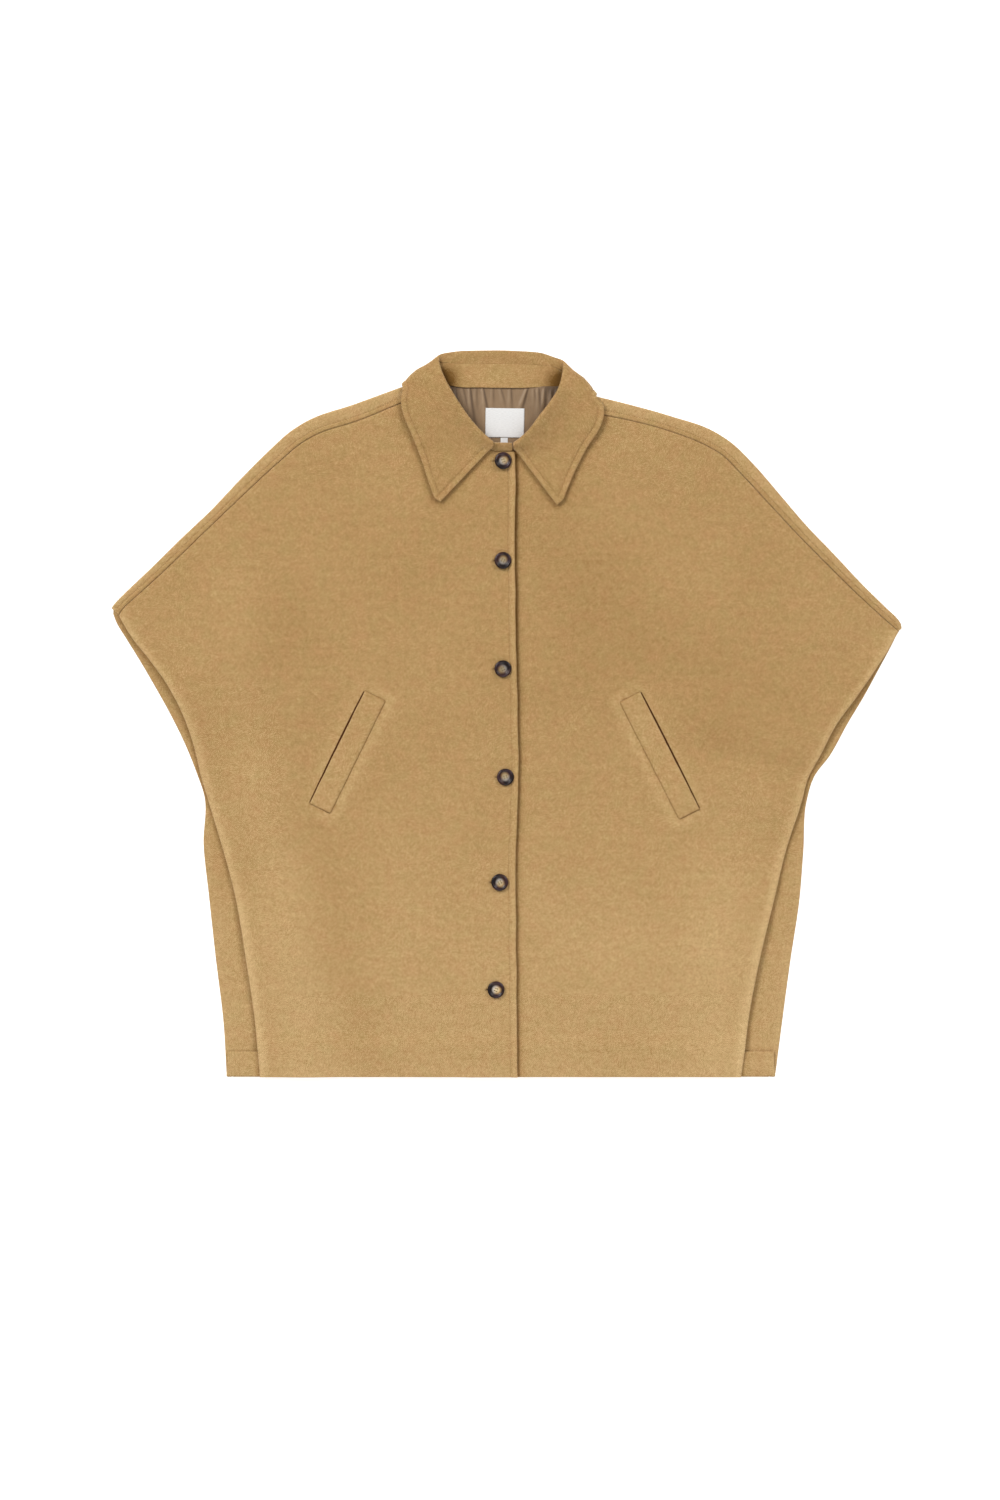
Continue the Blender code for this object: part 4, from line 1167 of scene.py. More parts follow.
def fine_fall(section):
    """One section of the fall, close together at its seam, round its roll and at its edge."""
    inner = [along(section, place) for place in SEAM_PLACES]
    arc = [along(section, 1.0 + step / 2.0) for step in range(2 * ARC_STEPS + 1)]
    leaf = [along(section, 1.0 + ARC_STEPS + step / 4.0) for step in range(4 * LEAF_STEPS + 1)]
    shares = columns(length_of(leaf), (0.0,), LEAF_COLUMNS, LEAF_EDGE_STEPS)
    return inner + arc + spread(leaf, shares)[1:]


def unrolled(section):
    """Where a section's points are on the flat cut: its outer edge stays, and the rest unrolls."""
    way = section[LEAF_START].to_2d() - section[-1].to_2d()
    way.normalize()
    spot = section[-1].to_2d()
    found = [spot]
    for a, b in zip(section[::-1], section[-2::-1]):
        spot = spot + way * (a - b).length
        found.append(spot)
    return [Vector((-point.x, point.y)) for point in found[::-1]]


def soften(rows, centres, reach, times, first_column):
    """Round off the grid near some centres: each point moves towards the middle of its neighbours."""
    last = len(rows[0]) - 1
    near = []
    for line in range(1, len(rows) - 1):
        for column in range(first_column, last + 1):
            away = min((rows[line][column] - centre).length for centre in centres)
            if away < reach:
                near.append((line, column, ramp(away, reach, reach * 0.35)))
    for _ in range(times):
        moved = []
        for line, column, pull in near:
            sides = (rows[line - 1][column] + rows[line + 1][column]) / 2.0
            if column < last:
                sides = (sides + (rows[line][column - 1] + rows[line][column + 1]) / 2.0) / 2.0
            moved.append(rows[line][column].lerp(sides, pull * 0.8))
        for (line, column, pull), point in zip(near, moved):
            rows[line][column] = point


def neck_shade(point):
    """How little light gets down into the two corners inside the neck, at the ends of its back."""
    return NECK_SHADE.at(min((point.to_2d() - corner).length for corner in NECK_CORNERS))


def paint_shade_beside(piece, lines, band):
    """Paint shadow into a piece's colour close to edges that lie over it."""
    tree = edge_tree(*(level(line) for line in lines))
    for vert, value in zip(piece.data.vertices, piece.data.attributes["painted_light"].data):
        spot = Vector((vert.co.x / MM, vert.co.y / MM, 0.0))
        value.value -= band.at(tree.find(spot)[2])


def collar_nets():
    """The coarse nets of the stand and of the fall, which meet at the seam between them."""
    stand = []
    fall = []
    seam_ways = square_to_line(sections, "seam")
    neck_ways = square_to_line(sections, "neck")
    for part, seam_way, neck_way in zip(sections, seam_ways, neck_ways):
        foot = part["neck"] + (part["away"] or neck_way) * part["clear"]
        if not part["away"] and part["neck"].y > 400.0:
            inside = ramp(abs(part["neck"].x - NECK_MIDDLE + 4.0), 62.0, 44.0)
            foot += Vector((0.0, -FOOT_DROP, FOOT_RISE)) * inside
        half_gap = seam_way * (part["seam_air"] / 2.0)
        stand.append([foot.lerp(part["seam"] - half_gap, share) for share in even(3)])
        fall.append([part["seam"] + half_gap] + part["fall"])
    corner = Vector((STAND_END.x + 0.8, stand[0][0].y, stand[0][0].z))
    stand.insert(0, [corner.lerp(STAND_END, share) for share in even(3)])
    return stand, fall


def fall_cell(row, column):
    """One cell of the fall, and the last shaping of its point: stitching, ridge and soft swells."""
    point = row[column]
    on_leaf = column > LEAF_START
    distance = to_leaf_edge.find(point)[2]
    from_end = min((point - fall_rows[0][column]).length, (point - fall_rows[-1][column]).length)
    pressed = hump(distance - COLLAR_STITCH, 1.15) if column > LEAF_START + 2 else 0.0
    at_seam = SEAM_THINNING * rim_thinning((point - row[0]).length)
    wall = max(rim_thinning(min(distance, from_end)), at_seam, 0.4 * pressed)
    # Painted highlight along the leaf's edge, painted shade in the stitch groove and in the neck's
    # corners, and the whole fall a little darker.
    light = LEAF_LIGHT.at(distance) * on_leaf - 0.7 * pressed - 0.5
    light -= neck_shade(point) * ramp(column, LEAF_START - 3, 4)
    if on_leaf and point.z > CLOTH * 2.0:
        soft = 0.9 * waver(point.x, point.y, 26.0, 2.0)
        point.z += max(0.0, soft + 0.35) * ramp(distance, 10.0, 26.0) - 0.7 * pressed
        point.z += LEAF_RIDGE.at(distance) * ramp(column, LEAF_START + 2, LEAF_START + 9)
    return Cell(point, wall, light)


def stand_cell(row, point):
    """One cell of the stand, thinner at its edges and at the corners of its ends."""
    from_corner = min((point - stand_rows[0][0]).length, (point - stand_rows[-1][0]).length)
    from_edge = min((point - row[0]).length, (point - row[-1]).length)
    wall = max(rim_thinning(from_corner), SEAM_THINNING * rim_thinning(from_edge))
    # Painted shade in the neck's corners.
    return Cell(point, wall, -neck_shade(point))


stand_net, fall_net = collar_nets()
fall_rows = [fine_fall(section) for section in smooth_sections(fall_net)]
soften(fall_rows, ROLL_CORNERS, 34.0, 60, 4)
soften(fall_rows, LEAF_CORNERS, 18.0, 16, LEAF_START)
ends = [row[:LEAF_START:-1] for row in (fall_rows[0], fall_rows[-1])]
leaf_outline = ends[0][::-1] + [row[-1] for row in fall_rows] + ends[1]
to_leaf_edge = edge_tree(leaf_outline)
over_fronts = [point for point in leaf_outline if point.z > 2.0 * CLOTH]
leaves = [[point for point in over_fronts if point.x < NECK_MIDDLE],
          [point for point in over_fronts if point.x > NECK_MIDDLE]]
# Painted shadow on both fronts beside the collar's leaves.
paint_shade_beside(right_front, leaves, LEAF_SHADE)
paint_shade_beside(left_front, leaves, LEAF_SHADE)
fall_cuts = [unrolled(row) for row in fall_rows]
fall_cells = [[fall_cell(row, column) for column in range(len(row))] for row in fall_rows]
collar_fall = cloth("fall_of_collar", fall_cells, camel_wool, fall_cuts, even_wall=False)
finished(collar_fall, "collar_fall")

stand_rows = [[along(section, 2.0 * place) for place in STAND_PLACES]
              for section in smooth_sections(stand_net)]
stand_cells = [[stand_cell(row, point) for point in row] for row in stand_rows]
collar_stand = cloth("stand_of_collar", stand_cells, camel_wool, even_wall=False)
finished(collar_stand, "collar_stand")

# %% [markdown]
# ## Neck lining, label and size tab
# Inside the back of the neck is a piece of taupe satin. It is a little fuller than the neck that it
# is sewn to, so it gathers into small creases that start at the seam and die out below it. A white
# woven label is stitched on it, with a tiny size tab under it, and both are left blank.

# %% Satin and label finishes


def satin():
    finish = Finish("taupe satin", 0.5, sheen_weight=0.1, sheen_roughness=0.3,
                    specular_ior_level=0.3)
    cut = finish.node("ShaderNodeUVMap", {"uv_map": "cut"})
    threads = finish.noise(cut, 900.0, 1.0, 0.5, stretch=(1.0, 9.0, 1.0))
    clouds = finish.noise(cut, 30.0, 2.0)
    body = finish.mix(clouds.within(0.3, 0.7), shade((146, 119, 90)), shade((132, 107, 80)))
    # Painted light and shade from the attribute: paler on the gathers' ridges, darker in their creases
    # and in the neck's corners.
    crease = finish.node("ShaderNodeAttribute", {"attribute_name": "painted_light"}, output=2)
    body = finish.mix(threads.within(0.3, 0.7) * 0.3, body, shade((160, 134, 104)))
    body = finish.mix(crease.within(0.0, 1.0) * 0.5, body, shade((186, 160, 130)))
    finish.set("Base Color", finish.mix(crease.within(0.0, -1.0) * 0.75, body, shade((84, 64, 46))))
    finish.bump(threads, 0.08 * MM, 0.5)
    return finish.material


def woven_label():
    finish = Finish("white woven label", 0.55, sheen_weight=0.1)
    cut = finish.node("ShaderNodeUVMap", {"uv_map": "cut"})
    picks = finish.noise(cut, 1800.0, 1.0, 0.5, stretch=(6.0, 1.0, 1.0))
    body = finish.mix(picks.within(0.3, 0.7), shade((240, 239, 237)), shade((226, 225, 223)))
    finish.set("Base Color", body)
    finish.bump(picks, 0.06 * MM, 0.6)
    return finish.material


taupe_satin = satin()
label_cloth = woven_label()

# %% [markdown]
# ## Inside the neck
# The lining is a grid with fine rows, so that it can hold the narrow gathers. Each gather is a ridge
# that leans a little, gets wider on its way down and fades out. The label and the tab follow the
# lining under them, a little slack in the middle.

# %% Lining, label and tab
Strip = namedtuple("Strip", "y right_x left_x")
LINING_ROWS = [
    Strip(330.0, -20.0, 16.0), Strip(348.0, -38.0, 34.0), Strip(370.0, -57.0, 50.0),
    Strip(390.0, -70.0, 66.0), Strip(408.4, -81.0, 75.0),
]
LINING = 0.7
LINING_CLEAR = 0.15
LABEL_THICK = 0.45
TAG_CLEAR = 0.35
GATHERED_SEAM = 407.0    # height of the seam that the gathers start at
LABEL_MIDDLE = -2.1
# Where each gather starts at the seam, how far it leans, how long it is, and how deep.
Gather = namedtuple("Gather", "x lean length depth")
GATHERS = [
    Gather(-66.0, 0.10, 30.0, 1.2), Gather(-56.0, 0.16, 34.0, 0.8), Gather(-47.0, 0.04, 38.0, 1.6),
    Gather(-39.0, -0.05, 20.0, 0.7), Gather(-30.5, 0.10, 30.0, 1.5), Gather(-18.0, -0.06, 16.0, 0.7),
    Gather(-9.0, 0.20, 15.0, 0.9), Gather(4.0, -0.03, 22.0, 1.0), Gather(25.5, -0.36, 24.0, 1.7),
    Gather(33.0, 0.03, 14.0, 0.8), Gather(38.5, 0.02, 30.0, 1.2), Gather(47.0, -0.10, 28.0, 1.6),
    Gather(56.0, -0.06, 24.0, 1.0), Gather(63.0, -0.12, 22.0, 0.9),
]


def gathers(x, y):
    """Height of the satin's small creases, with painted light on their ridges and painted shade beside
    them.
    """
    height = 0.0
    light = 0.0
    drop = GATHERED_SEAM - y
    for gather in GATHERS:
        off = x - gather.x - gather.lean * drop
        width = 1.1 + 0.06 * drop
        fade = gather.depth * hump(max(0.0, drop - 6.0), gather.length)
        height += fade * hump(off, width)
        dark = 0.95 * hump(off - 1.5 * width, width * 0.75)
        light += fade * (0.5 * hump(off + 0.4 * width, width * 0.8) - dark)
    return height * ramp(y, GATHERED_SEAM, 402.0), light * ramp(y, 408.0, 404.0)


def lining_height(x, y):
    """Middle of the lining; it goes up with its gathers, and lies flat under the label."""
    in_label = ramp(abs(x - LABEL_MIDDLE), 34.0, 27.0) * ramp(y, 386.0, 380.0)
    return CLOTH + neck_lift(x, y) + LINING_CLEAR + LINING / 2.0 + gathers(x, y)[0] * (1.0 - in_label)


def make_lining():
    lefts = [Vector((strip.left_x, strip.y)) for strip in LINING_ROWS]
    rights = [Vector((strip.right_x, strip.y)) for strip in LINING_ROWS]
    rows = []
    for place in places(rights, 1.6):
        row = []
        for spot in spread([along(rights, place), along(lefts, place)], even(110)):
            point = Vector((spot.x, spot.y, lining_height(spot.x, spot.y)))
            # Painted light and shade of the gathers, and painted shade in the neck's corners.
            row.append(Cell(point, 0.0, gathers(spot.x, spot.y)[1] - 0.3 * neck_shade(point)))
        rows.append(row)
    return cloth("neck_lining", rows, taupe_satin, thickness=LINING)


def make_tag(name, node, turn, slack):
    """A woven tag on the lining, between the corners of its own solid."""
    low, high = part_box(node)
    centre = (low + high).to_2d() / (2.0 * MM)
    turned_size = (high - low).to_2d() / MM
    lean = math.tan(math.radians(abs(turn)))
    size = Vector((turned_size.x - lean * turned_size.y, turned_size.y - lean * turned_size.x))
    rows = []
    for down in even(28):
        row = []
        for across in even(36):
            spot = Vector(((across - 0.5) * size.x, (down - 0.5) * size.y))
            spot.rotate(Matrix.Rotation(math.radians(turn), 2))
            spot += centre
            bow = slack * math.sin(math.pi * across) * math.sin(math.pi * down) ** 0.7
            height = lining_height(spot.x, spot.y) + (LINING + LABEL_THICK) / 2.0 + TAG_CLEAR + bow
            row.append(Cell(Vector((spot.x, spot.y, height))))
        rows.append(row)
    return cloth(name, rows, label_cloth, thickness=LABEL_THICK)


lining = finished(make_lining(), "back_neck_lining")
label = finished(make_tag("label_of_neck", "neck_label", -0.8, 0.6), "neck_label")
tab = finished(make_tag("tab_of_size", "size_tab", 0.0, 0.1), "size_tab")

# %% [markdown]
# ## Welt pockets
# A welt is a folded strip of the same cloth over a slanted cut. Its inner long edge is seamed to the
# front and pressed flat, so it sinks there, and its two ends are stitched down. Its outer long edge
# is the mouth of the pocket: it stands a little proud, and a thin dark sheet of painted shade lies
# under it.

# %% Welts
WELT_WALL = 1.8
WELT_CLEAR = 0.25
LONG_STEPS = (*RIM_STEPS, 2.4, 3.4, 4.4, 5.6, 7.5, 10.0, 13.0)
SHORT_STEPS = (*RIM_STEPS, 2.2, 3.0, 4.0, 6.0)
SEAM_SINK = Band(1.0, 0.0, 1.8)          # the seamed edge and both ends are pressed down
SEAM_SWELL = Band(0.5, 4.5, 2.6)         # the folded strip swells beside its seam
MOUTH_STAND = Band(0.7, 0.0, 5.0)        # and its outer edge stands proud
END_SINK = Band(0.9, 0.0, 1.6)
# Painted light and shade on the welt: a highlight along its mouth, and painted shade along its seam and
# at its ends.
MOUTH_LIGHT = Band(0.5, 0.0, 4.0)
SEAM_DARK = Band(4.5, 0.0, 0.9)
END_DARK = Band(6.0, 0.0, 1.0)
MOUTH_OFF = 0.6          # from the welt's edge to the middle of the dark line


# Painted shade: a plain dark wool colour for thin sheets laid where the pocket's mouth and the
# buttonhole slits lie in shade.
def painted_shade_wool():
    finish = Finish("wool in the pocket's shade", 1.0, specular_ior_level=0.0)
    place = finish.node("ShaderNodeTexCoord", {}, {}, output=3)
    grain = finish.noise(place, 900.0, 1.0).within(0.3, 0.7)
    finish.set("Base Color", finish.mix(grain, shade((92, 58, 36)), shade((70, 44, 27))))
    return finish.material


pocket_shade = painted_shade_wool()


def welt_spot(welt, across, down):
    """A place on a front, from a place on the welt: across from its middle, and down its length."""
    spot = Vector((across, down))
    spot.rotate(Matrix.Rotation(-math.radians(welt.lean), 2))
    return spot + Vector((welt.x, welt.y))


def front_top(spot):
    """The top of the cloth of a front at a place near a pocket."""
    return front_height(spot.x, spot.y, 1.0, False) + CLOTH / 2.0


def make_welt(welt):
    rows = []
    for down in columns(welt.length, LONG_STEPS, 30, LONG_STEPS):
        row = []
        for across in columns(WELT_WIDTH, SHORT_STEPS, 6, SHORT_STEPS):
            off = (across - 0.5) * WELT_WIDTH
            uneven = 0.35 * noise.noise(Vector((down * 9.0, welt.x, 0.0)))
            spot = welt_spot(welt, off + uneven, (down - 0.5) * welt.length)
            from_mouth = WELT_WIDTH / 2.0 - off * welt.mouth
            from_seam = WELT_WIDTH - from_mouth
            from_end = min(down, 1.0 - down) * welt.length
            height = front_top(spot) + WELT_CLEAR + WELT_WALL / 2.0 - SEAM_SINK.at(from_seam)
            height += SEAM_SWELL.at(from_seam) + MOUTH_STAND.at(from_mouth)
            height -= END_SINK.at(from_end)
            wall = rim_thinning(min(from_mouth, from_seam, from_end))
            # Painted highlight along the mouth, with the whole welt a little lighter and lighter lower
            # down; painted shade along the seam and the ends.
            light = MOUTH_LIGHT.at(from_mouth) + 0.6 + low_painted_light(spot.y)
            light = light - SEAM_DARK.at(from_seam) - END_DARK.at(from_end)
            row.append(Cell(Vector((spot.x, spot.y, height)), wall, light))
        rows.append(row)
    piece = cloth(f"{welt.node}_cloth", rows, camel_wool, thickness=WELT_WALL)
    return finished(piece, welt.node)


def make_mouth(welt):
    """A thin dark sheet of painted shade along the welt's outer edge, where the pocket's mouth lies in
    shade, widest in the middle.
    """
    rows = []
    for down in even(60):
        reach = (down - 0.5) * (welt.length - 3.0)
        half = 0.6 + 1.15 * math.sin(math.pi * (1.0 - down) ** 0.8) ** 0.8
        row = []
        for side in (-1.0, 0.0, 1.0):
            spot = welt_spot(welt, welt.mouth * (WELT_WIDTH / 2.0 + MOUTH_OFF) + side * half, reach)
            row.append(Cell(Vector((spot.x, spot.y, front_top(spot) + 0.12))))
        rows.append(row)
    piece = cloth(f"{welt.node}_mouth", rows, pocket_shade, thickness=0.2)
    return finished(piece, None)


welt_pieces = [(make_welt(welt), make_mouth(welt)) for welt in WELTS]

# %% [markdown]
# ## Buttons
# Each button is turned from dark horn: a rounded rim, a dished middle and four holes. The profile is
# a few points, and `spin` turns it round the button's axis. The horn is nearly black at the rim with
# brown and cream streaks, and much paler in the middle, and no two buttons are alike, so each one's
# pattern is moved and turned by its own amount.

# %% Horn
BUTTON_PROFILE = [(0.0, 0.15), (7.6, 0.15), (9.3, 0.6), (10.3, 1.4), (10.65, 2.3), (10.5, 3.1),
                  (10.0, 3.75), (9.2, 4.12), (8.4, 4.15), (7.7, 3.85), (7.1, 3.3), (6.5, 2.9),
                  (5.4, 2.62), (3.0, 2.5), (0.0, 2.46)]
BUTTON_SIDES = 56
HOLE_RADIUS = 0.8
HOLE_PITCH = 3.2
Button = namedtuple("Button", "node turn pale")
BUTTONS = [Button("button_1", 20.0, 0.70), Button("button_2", 65.0, 0.50),
           Button("button_3", 205.0, 0.42), Button("button_4", 110.0, 0.60),
           Button("button_5", 300.0, 0.72), Button("button_6", 340.0, 1.0)]


def horn(button, centre):
    """Polished dark horn: streaked, and paler in the dished middle."""
    finish = Finish(f"horn of {button.node}", 0.3, coat_weight=0.2, coat_roughness=0.15,
                    specular_ior_level=0.3)
    place = finish.node("ShaderNodeTexCoord", {}, {}, output=3)
    turn = (0.0, 0.0, math.radians(button.turn))
    sockets = {"Vector": place, "Location": tuple(centre), "Rotation": turn}
    local = finish.node("ShaderNodeMapping", {"vector_type": "TEXTURE"}, sockets)
    streaks = finish.noise(local, 150.0, 3.0, 0.6, stretch=(3.5, 1.0, 1.0))
    clouds = finish.noise(local, 85.0, 2.0)
    split = finish.tree.nodes.new("ShaderNodeSeparateXYZ")
    finish.tree.links.new(local.output, split.inputs[0])
    x = Number(finish, split.outputs["X"])
    y = Number(finish, split.outputs["Y"])
    aside = x - 0.9 * MM
    squared = aside * aside + y * y
    from_middle = squared.math("SQRT", squared)
    middle = (from_middle + clouds * (2.4 * MM)).within(7.6 * MM, 4.6 * MM)
    rim = finish.mix(streaks.within(0.42, 0.72) * 0.7, shade((20, 12, 14)), shade((76, 42, 32)))
    rim = finish.mix(clouds.within(0.52, 0.78) * 0.5, rim, shade((66, 50, 66)))
    side = (x + clouds * (5.0 * MM)).within(0.0, 6.0 * MM)
    heart = finish.mix(side, shade((222, 210, 196)), shade((196, 156, 100)))
    heart = finish.mix(streaks.within(0.5, 0.8) * 0.5, heart, shade((140, 100, 64)))
    heart = finish.mix(from_middle.within(4.6 * MM, 1.8 * MM) * 0.75, heart, shade((238, 216, 168)))
    finish.set("Base Color", finish.mix(middle * button.pale, rim, heart))
    return finish.material


def plain_finish(name, colour, roughness):
    finish = Finish(name, roughness)
    place = finish.node("ShaderNodeTexCoord", {}, {}, output=3)
    grain = finish.noise(place, 2200.0, 1.0)
    darker = tuple(channel * 0.8 for channel in colour)
    finish.set("Base Color", finish.mix(grain.within(0.3, 0.7), shade(colour), shade(darker)))
    return finish.material


button_thread = plain_finish("brown button thread", (176, 146, 100), 0.8)
wool_thread = plain_finish("camel thread", (122, 90, 46), 0.8)
buttonhole_thread = plain_finish("pale camel thread", (176, 142, 90), 0.8)

# %% [markdown]
# ## A button, turned and drilled
# `spin` makes the round body and four cylinders are the drill: a Boolean modifier takes them away
# from the horn, and its result is kept as the button's mesh. Each button sits on the highest cloth
# under its rim, which a few rays cast down on the front find. Two bars of thread hold it.

# %% Turned buttons with holes and thread
SEAT_RADIUS = 7.6        # the button touches the cloth along this circle
SEAT_RAYS = 12
SEAT_DEPTH = 0.1         # and sinks this far into the nap
DOWN = Vector((0.0, 0.0, -1.0))
RAY_START = 0.1          # height that rays are cast down from, in metres
STRAND_RADIUS = 0.17
BAR_HEIGHT = 2.6


def hole_places():
    reach = HOLE_PITCH / math.sqrt(2.0)
    corners = [math.radians(45.0 + 90.0 * corner) for corner in range(4)]
    return [(reach * math.cos(corner), reach * math.sin(corner)) for corner in corners]


def surface_of(piece):
    """The finished surface of a piece, walls and all, for casting rays on."""
    return BVHTree.FromObject(piece, bpy.context.evaluated_depsgraph_get())


def add_rod(mesh, radius, depth, segments):
    """Add a short upright cylinder about the origin, and return its vertices."""
    made = bmesh.ops.create_cone(mesh, cap_ends=True, segments=segments, depth=depth * MM,
                                 radius1=radius * MM, radius2=radius * MM)
    return made["verts"]


def seat_of(button):
    """Where the underside of a button's middle is, on the highest cloth under its rim."""
    low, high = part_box(button.node)
    centre = (low + high) / 2.0
    front = surface_of(right_front)
    tops = []
    for ray in range(SEAT_RAYS):
        angle = 2.0 * math.pi * ray / SEAT_RAYS
        way = Vector((math.cos(angle), math.sin(angle), 0.0))
        above = Vector((centre.x, centre.y, RAY_START)) + way * (SEAT_RADIUS * MM)
        tops.append(front.ray_cast(above, DOWN)[0].z)
    return Vector((centre.x, centre.y, max(tops) - SEAT_DEPTH * MM))


def turned_body(place):
    """The button's profile, spun round its axis."""
    mesh = bmesh.new()
    profile = [mesh.verts.new((radius * MM, 0.0, height * MM)) for radius, height in BUTTON_PROFILE]
    edges = [mesh.edges.new(pair) for pair in zip(profile, profile[1:])]
    bmesh.ops.spin(mesh, geom=profile + edges, cent=(0.0, 0.0, 0.0), axis=(0.0, 0.0, 1.0),
                   angle=2.0 * math.pi, steps=BUTTON_SIDES, use_merge=True)
    bmesh.ops.remove_doubles(mesh, verts=mesh.verts, dist=0.00001)
    bmesh.ops.recalc_face_normals(mesh, faces=mesh.faces)
    bmesh.ops.transform(mesh, matrix=place, verts=mesh.verts)
    return mesh


def drill(place):
    """The four cylinders that make the holes."""
    mesh = bmesh.new()
    for hole_x, hole_y in hole_places():
        rod = add_rod(mesh, HOLE_RADIUS, 12.0, 20)
        bmesh.ops.translate(mesh, vec=(hole_x * MM, hole_y * MM, 0.0), verts=rod)
    bmesh.ops.transform(mesh, matrix=place, verts=mesh.verts)
    return mesh


def make_button(button, seat, place):
    finish = horn(button, seat)
    piece = new_object(f"{button.node}_horn", turned_body(place), finish)
    cutter = new_object(f"{button.node}_holes", drill(place), finish)
    cut = piece.modifiers.new("Holes", "BOOLEAN")
    cut.operation = "DIFFERENCE"
    cut.object = cutter
    drilled = piece.evaluated_get(bpy.context.evaluated_depsgraph_get())
    applied = bpy.data.meshes.new_from_object(drilled)
    piece.modifiers.clear()
    piece.data = applied
    piece.data.set_sharp_from_angle(angle=math.radians(48.0))
    bpy.data.objects.remove(cutter)
    finished(piece, button.node)


def make_button_thread(button, place):
    """Two bars of thread between the holes, and a thread in each hole down to the cloth."""
    mesh = bmesh.new()
    for bar in (-1.0, 1.0):
        for strand in (-0.16, 0.16):
            rod = add_rod(mesh, STRAND_RADIUS, HOLE_PITCH - 0.6, 8)
            lie = Matrix.Rotation(math.radians(90.0), 4, "Y")
            up = Matrix.Translation((0.0, (bar * HOLE_PITCH / 2.0 + strand) * MM, BAR_HEIGHT * MM))
            bmesh.ops.transform(mesh, matrix=up @ lie, verts=rod)
    for hole_x, hole_y in hole_places():
        rod = add_rod(mesh, 0.5, 1.6, 8)
        bmesh.ops.translate(mesh, vec=(hole_x * MM, hole_y * MM, 0.7 * MM), verts=rod)
    bmesh.ops.transform(mesh, matrix=place, verts=mesh.verts)
    finished(new_object(f"{button.node}_thread", mesh, button_thread), None)


for button in BUTTONS:
    seat = seat_of(button)
    place = Matrix.Translation(seat) @ Matrix.Rotation(math.radians(button.turn), 4, "Z")
    make_button(button, seat, place)
    make_button_thread(button, place)
print("buttons:", len(BUTTONS))

# %% [markdown]
# ## Stitches and buttonholes
# A stitch shows as one short bead of thread that is pulled a little into the cloth. Each bead is a
# ball of only 20 faces, drawn long, and a whole line of them is one piece. A ray is cast down on the
# cloth at each stitch, so that it lies on the surface and leans with it. A buttonhole is the same
# beads, laid side by side round a slit of painted shade. Most of it is under its button.

# %% Stitches
STITCH_PITCH = 3.3
STITCH_HALF = (1.25, 0.26, 0.22)     # half a stitch's length, width and height
PURL_HALF = (0.85, 0.24, 0.24)
SLIT_HALF = (1.9, 0.55, 0.3)
HOLE_LEFT = -13.0        # the buttonhole's two ends, from the middle of its button
HOLE_RIGHT = 8.0
PURL_OFF = 0.95          # from the slit to the middle of the stitches round it
Stitch = namedtuple("Stitch", "x y way_x way_y")


def sewn(name, stitches, half, on, finish):
    """Stitches on a piece of cloth, all in one mesh."""
    surface = surface_of(on)
    mesh = bmesh.new()
    for stitch in stitches:
        above = Vector((stitch.x * MM, stitch.y * MM, RAY_START))
        spot, up, _, _ = surface.ray_cast(above, DOWN)
        if spot is None:
            continue
        way = Vector((stitch.way_x, stitch.way_y, 0.0))
        way = (way - up * way.dot(up)).normalized()
        aside = up.cross(way)
        turn = Matrix((way, aside, up)).transposed().to_4x4()
        made = bmesh.ops.create_icosphere(mesh, subdivisions=1, radius=1.0 * MM)
        size = Matrix.Diagonal((*half, 1.0))
        bmesh.ops.transform(mesh, matrix=Matrix.Translation(spot) @ turn @ size, verts=made["verts"])
    print(f"{name}: {len(mesh.faces) // 20} stitches")
    return finished(new_object(name, mesh, finish), None)


def stitch_line(points):
    """Stitches a pitch apart along a line."""
    flat = level(points)
    spots = spread(flat, even(max(2, round(length_of(flat) / STITCH_PITCH))))
    return [Stitch(*((a + b) / 2.0).to_2d(), *(b - a).to_2d()) for a, b in zip(spots, spots[1:])]


def inset(points, distance):
    """A line inside an outline, on its left, at the same distance from all of it."""
    flat = level(points)
    tree = edge_tree(flat)
    found = []
    for a, b in zip(flat, flat[1:]):
        if (b - a).length < 0.01:
            continue
        inward = Vector((0.0, 0.0, 1.0)).cross(b - a).normalized()
        spot = (a + b) / 2.0 + inward * distance
        if tree.find(spot)[2] > distance * 0.98:
            found.append(spot)
    return found


def leaf_edge(rows):
    """The edge of one leaf, from the rolled edge at its front end to the side fold."""
    side = [row[-1] for row in rows if row[-1].z > 2.0 * CLOTH]
    return rows[0][LEAF_START:] + side


def shoulder_stitches(shoulder):
    """Stitches beside one shoulder's seam, from a little way in from the wing tip."""
    line = [seam + (edge - seam).normalized() * SEAM_STITCH
            for edge, seam in map(ends_of, shoulder[2:])]
    return stitch_line(curve(line, 5.0))


def purls(x, y):
    """The stitches round one buttonhole: two rows across its edges and a fan round each end."""
    found = []
    for step in even(30):
        across = x + HOLE_LEFT + (HOLE_RIGHT - HOLE_LEFT) * step
        found += [Stitch(across, y + off, 0.0, 1.0) for off in (PURL_OFF, -PURL_OFF)]
    for end, way in ((HOLE_LEFT, -1.0), (HOLE_RIGHT, 1.0)):
        for turn in (-60.0, -30.0, 0.0, 30.0, 60.0):
            lean = math.radians(turn)
            found.append(Stitch(x + end + way * PURL_OFF * math.cos(lean), y + PURL_OFF * math.sin(lean),
                                way * math.cos(lean), math.sin(lean)))
    return found


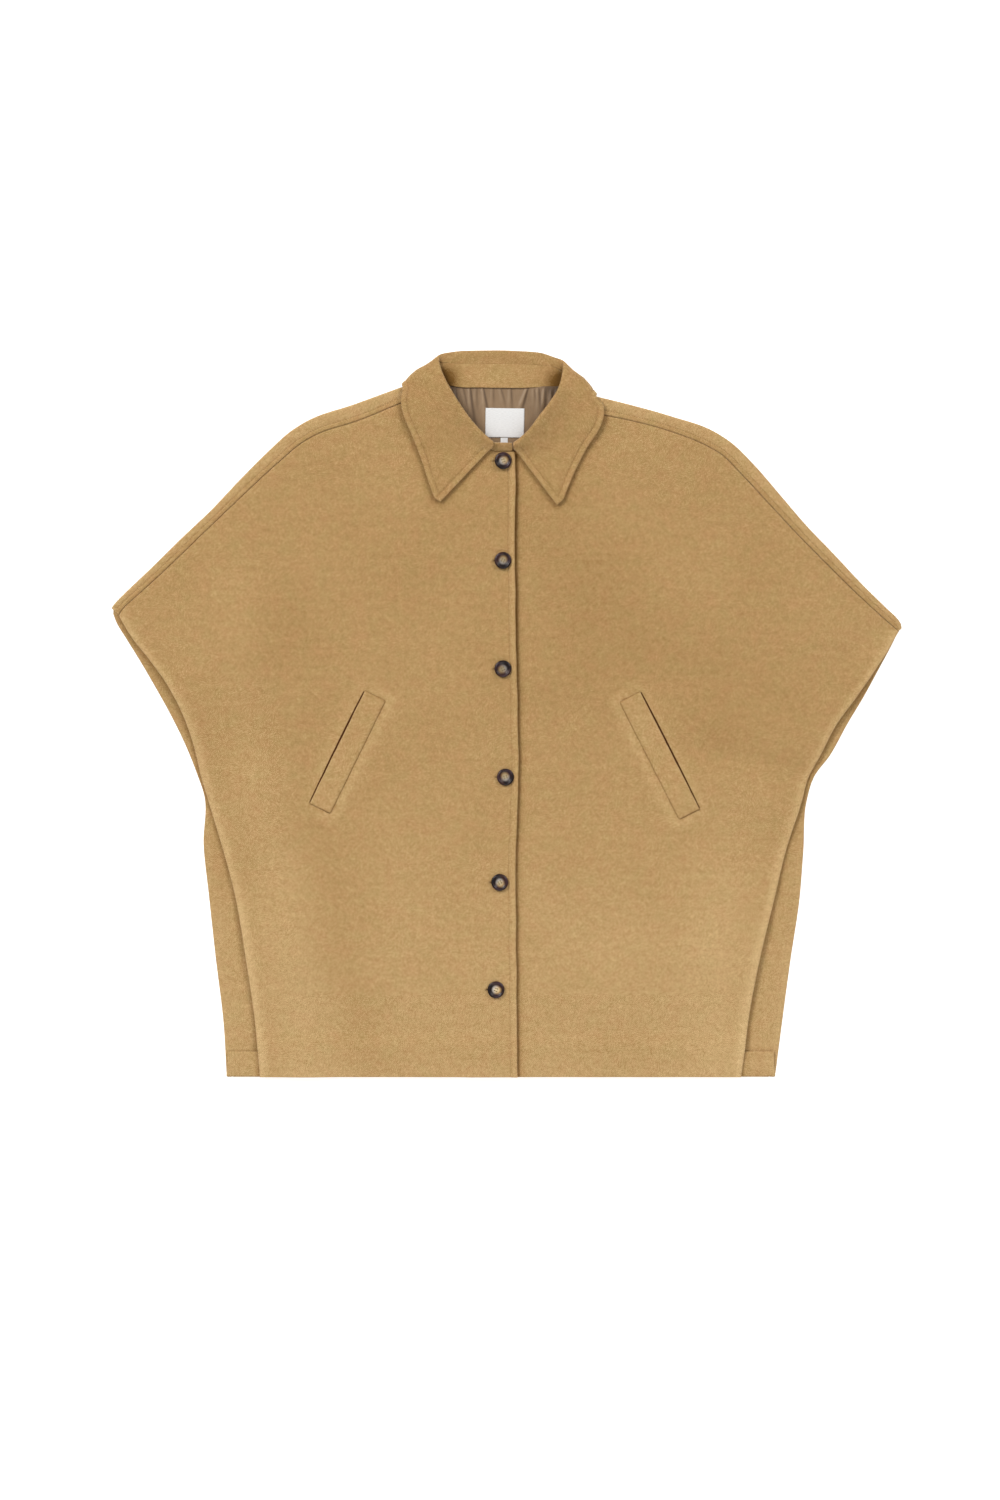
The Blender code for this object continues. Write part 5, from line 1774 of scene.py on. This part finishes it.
half_way = len(fall_rows) // 2
right_line = inset(leaf_edge(fall_rows[:half_way])[::-1], COLLAR_STITCH)
left_line = inset(leaf_edge(fall_rows[:half_way:-1]), COLLAR_STITCH)
closing_line = [(edge_x(y) - CLOSING_STITCH, y) for y in range(-450, 323, 6)]
LINES = [
    ("stitching_of_collar", stitch_line(right_line) + stitch_line(left_line), collar_fall,
     buttonhole_thread),
    ("stitching_of_closing", stitch_line(closing_line), right_front, buttonhole_thread),
    ("stitching_of_shoulders", shoulder_stitches(RIGHT_SHOULDER) + shoulder_stitches(LEFT_SHOULDER),
     back, wool_thread),
]
for name, stitches, on, thread in LINES:
    sewn(name, stitches, STITCH_HALF, on, thread)
for number, button in enumerate(BUTTONS, 1):
    low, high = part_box(button.node)
    x, y = ((low + high) / 2.0 / MM).to_2d()
    sewn(f"buttonhole_{number}", purls(x, y), PURL_HALF, right_front, buttonhole_thread)
    # The slit is a row of dark beads of painted shade.
    slit = [Stitch(x + HOLE_LEFT + 2.0 + 3.4 * step, y, 1.0, 0.0) for step in range(6)]
    sewn(f"buttonhole_{number}_slit", slit, SLIT_HALF, right_front, pocket_shade)

# %% [markdown]
# ## The form of a sheet of cloth
# Each piece of cloth was cut flat before it was sewn. Sheet is only the form of a row for such a
# cut: the piece, the width and length of the smallest rectangle that it is cut from, the area that
# the cut itself takes up, and the fields on and more.

# %% Sheets of cloth
Sheet = namedtuple("Sheet", "piece width length area on more")

# %% [markdown]
# ## Floor, light and camera
# The cape lies on a plain white floor and is seen from straight above. The light is a studio's: two
# large soft boxes beyond the collar end, the stronger one on the wearer's right, and a weak one
# beyond the hem, so that creases show but no shadow is hard.

# %% Floor, light and camera
CAMERA_HEIGHT = 4.0
VIEW_LENGTH = 1.875      # how much of the floor the long side of the picture takes in
VIEW_CENTRE = (-0.0081, -0.0456)


def floor():
    bpy.ops.mesh.primitive_plane_add(size=12.0, location=(0.0, 0.0, -0.0004))
    ground = bpy.context.object
    ground.name = "floor"
    paint = Finish("white floor", 0.9, base_color=(0.9, 0.9, 0.9, 1.0), specular_ior_level=0.0,
                   emission_color=(1.0, 1.0, 1.0, 1.0), emission_strength=0.6)
    ground.data.materials.append(paint.material)


def soft_box(name, place, size, power):
    lamp = bpy.data.lights.new(name, "AREA")
    lamp.shape = "SQUARE"
    lamp.size = size
    lamp.energy = power
    item = bpy.data.objects.new(name, lamp)
    item.location = place
    item.rotation_euler = (-Vector(place)).to_track_quat("-Z", "Y").to_euler()
    bpy.context.scene.collection.objects.link(item)


floor()
soft_box("left key light", (-3.4, 3.0, 4.4), 2.4, 226.0)
soft_box("right key light", (3.6, 3.0, 4.4), 2.4, 126.0)
soft_box("fill light", (0.5, -2.6, 2.4), 2.4, 27.0)
world = bpy.data.worlds.new("studio")
world.use_nodes = True
world.node_tree.nodes["Background"].inputs["Color"].default_value = (1.0, 1.0, 1.0, 1.0)
world.node_tree.nodes["Background"].inputs["Strength"].default_value = 0.32
bpy.context.scene.world = world
bpy.context.scene.view_settings.view_transform = "Standard"

lens = bpy.data.cameras.new("camera")
lens.sensor_width = 36.0
lens.lens = lens.sensor_width * CAMERA_HEIGHT / VIEW_LENGTH
lens.dof.use_dof = False
camera = bpy.data.objects.new("camera", lens)
camera.location = (*VIEW_CENTRE, CAMERA_HEIGHT)
bpy.context.scene.collection.objects.link(camera)
bpy.context.scene.camera = camera
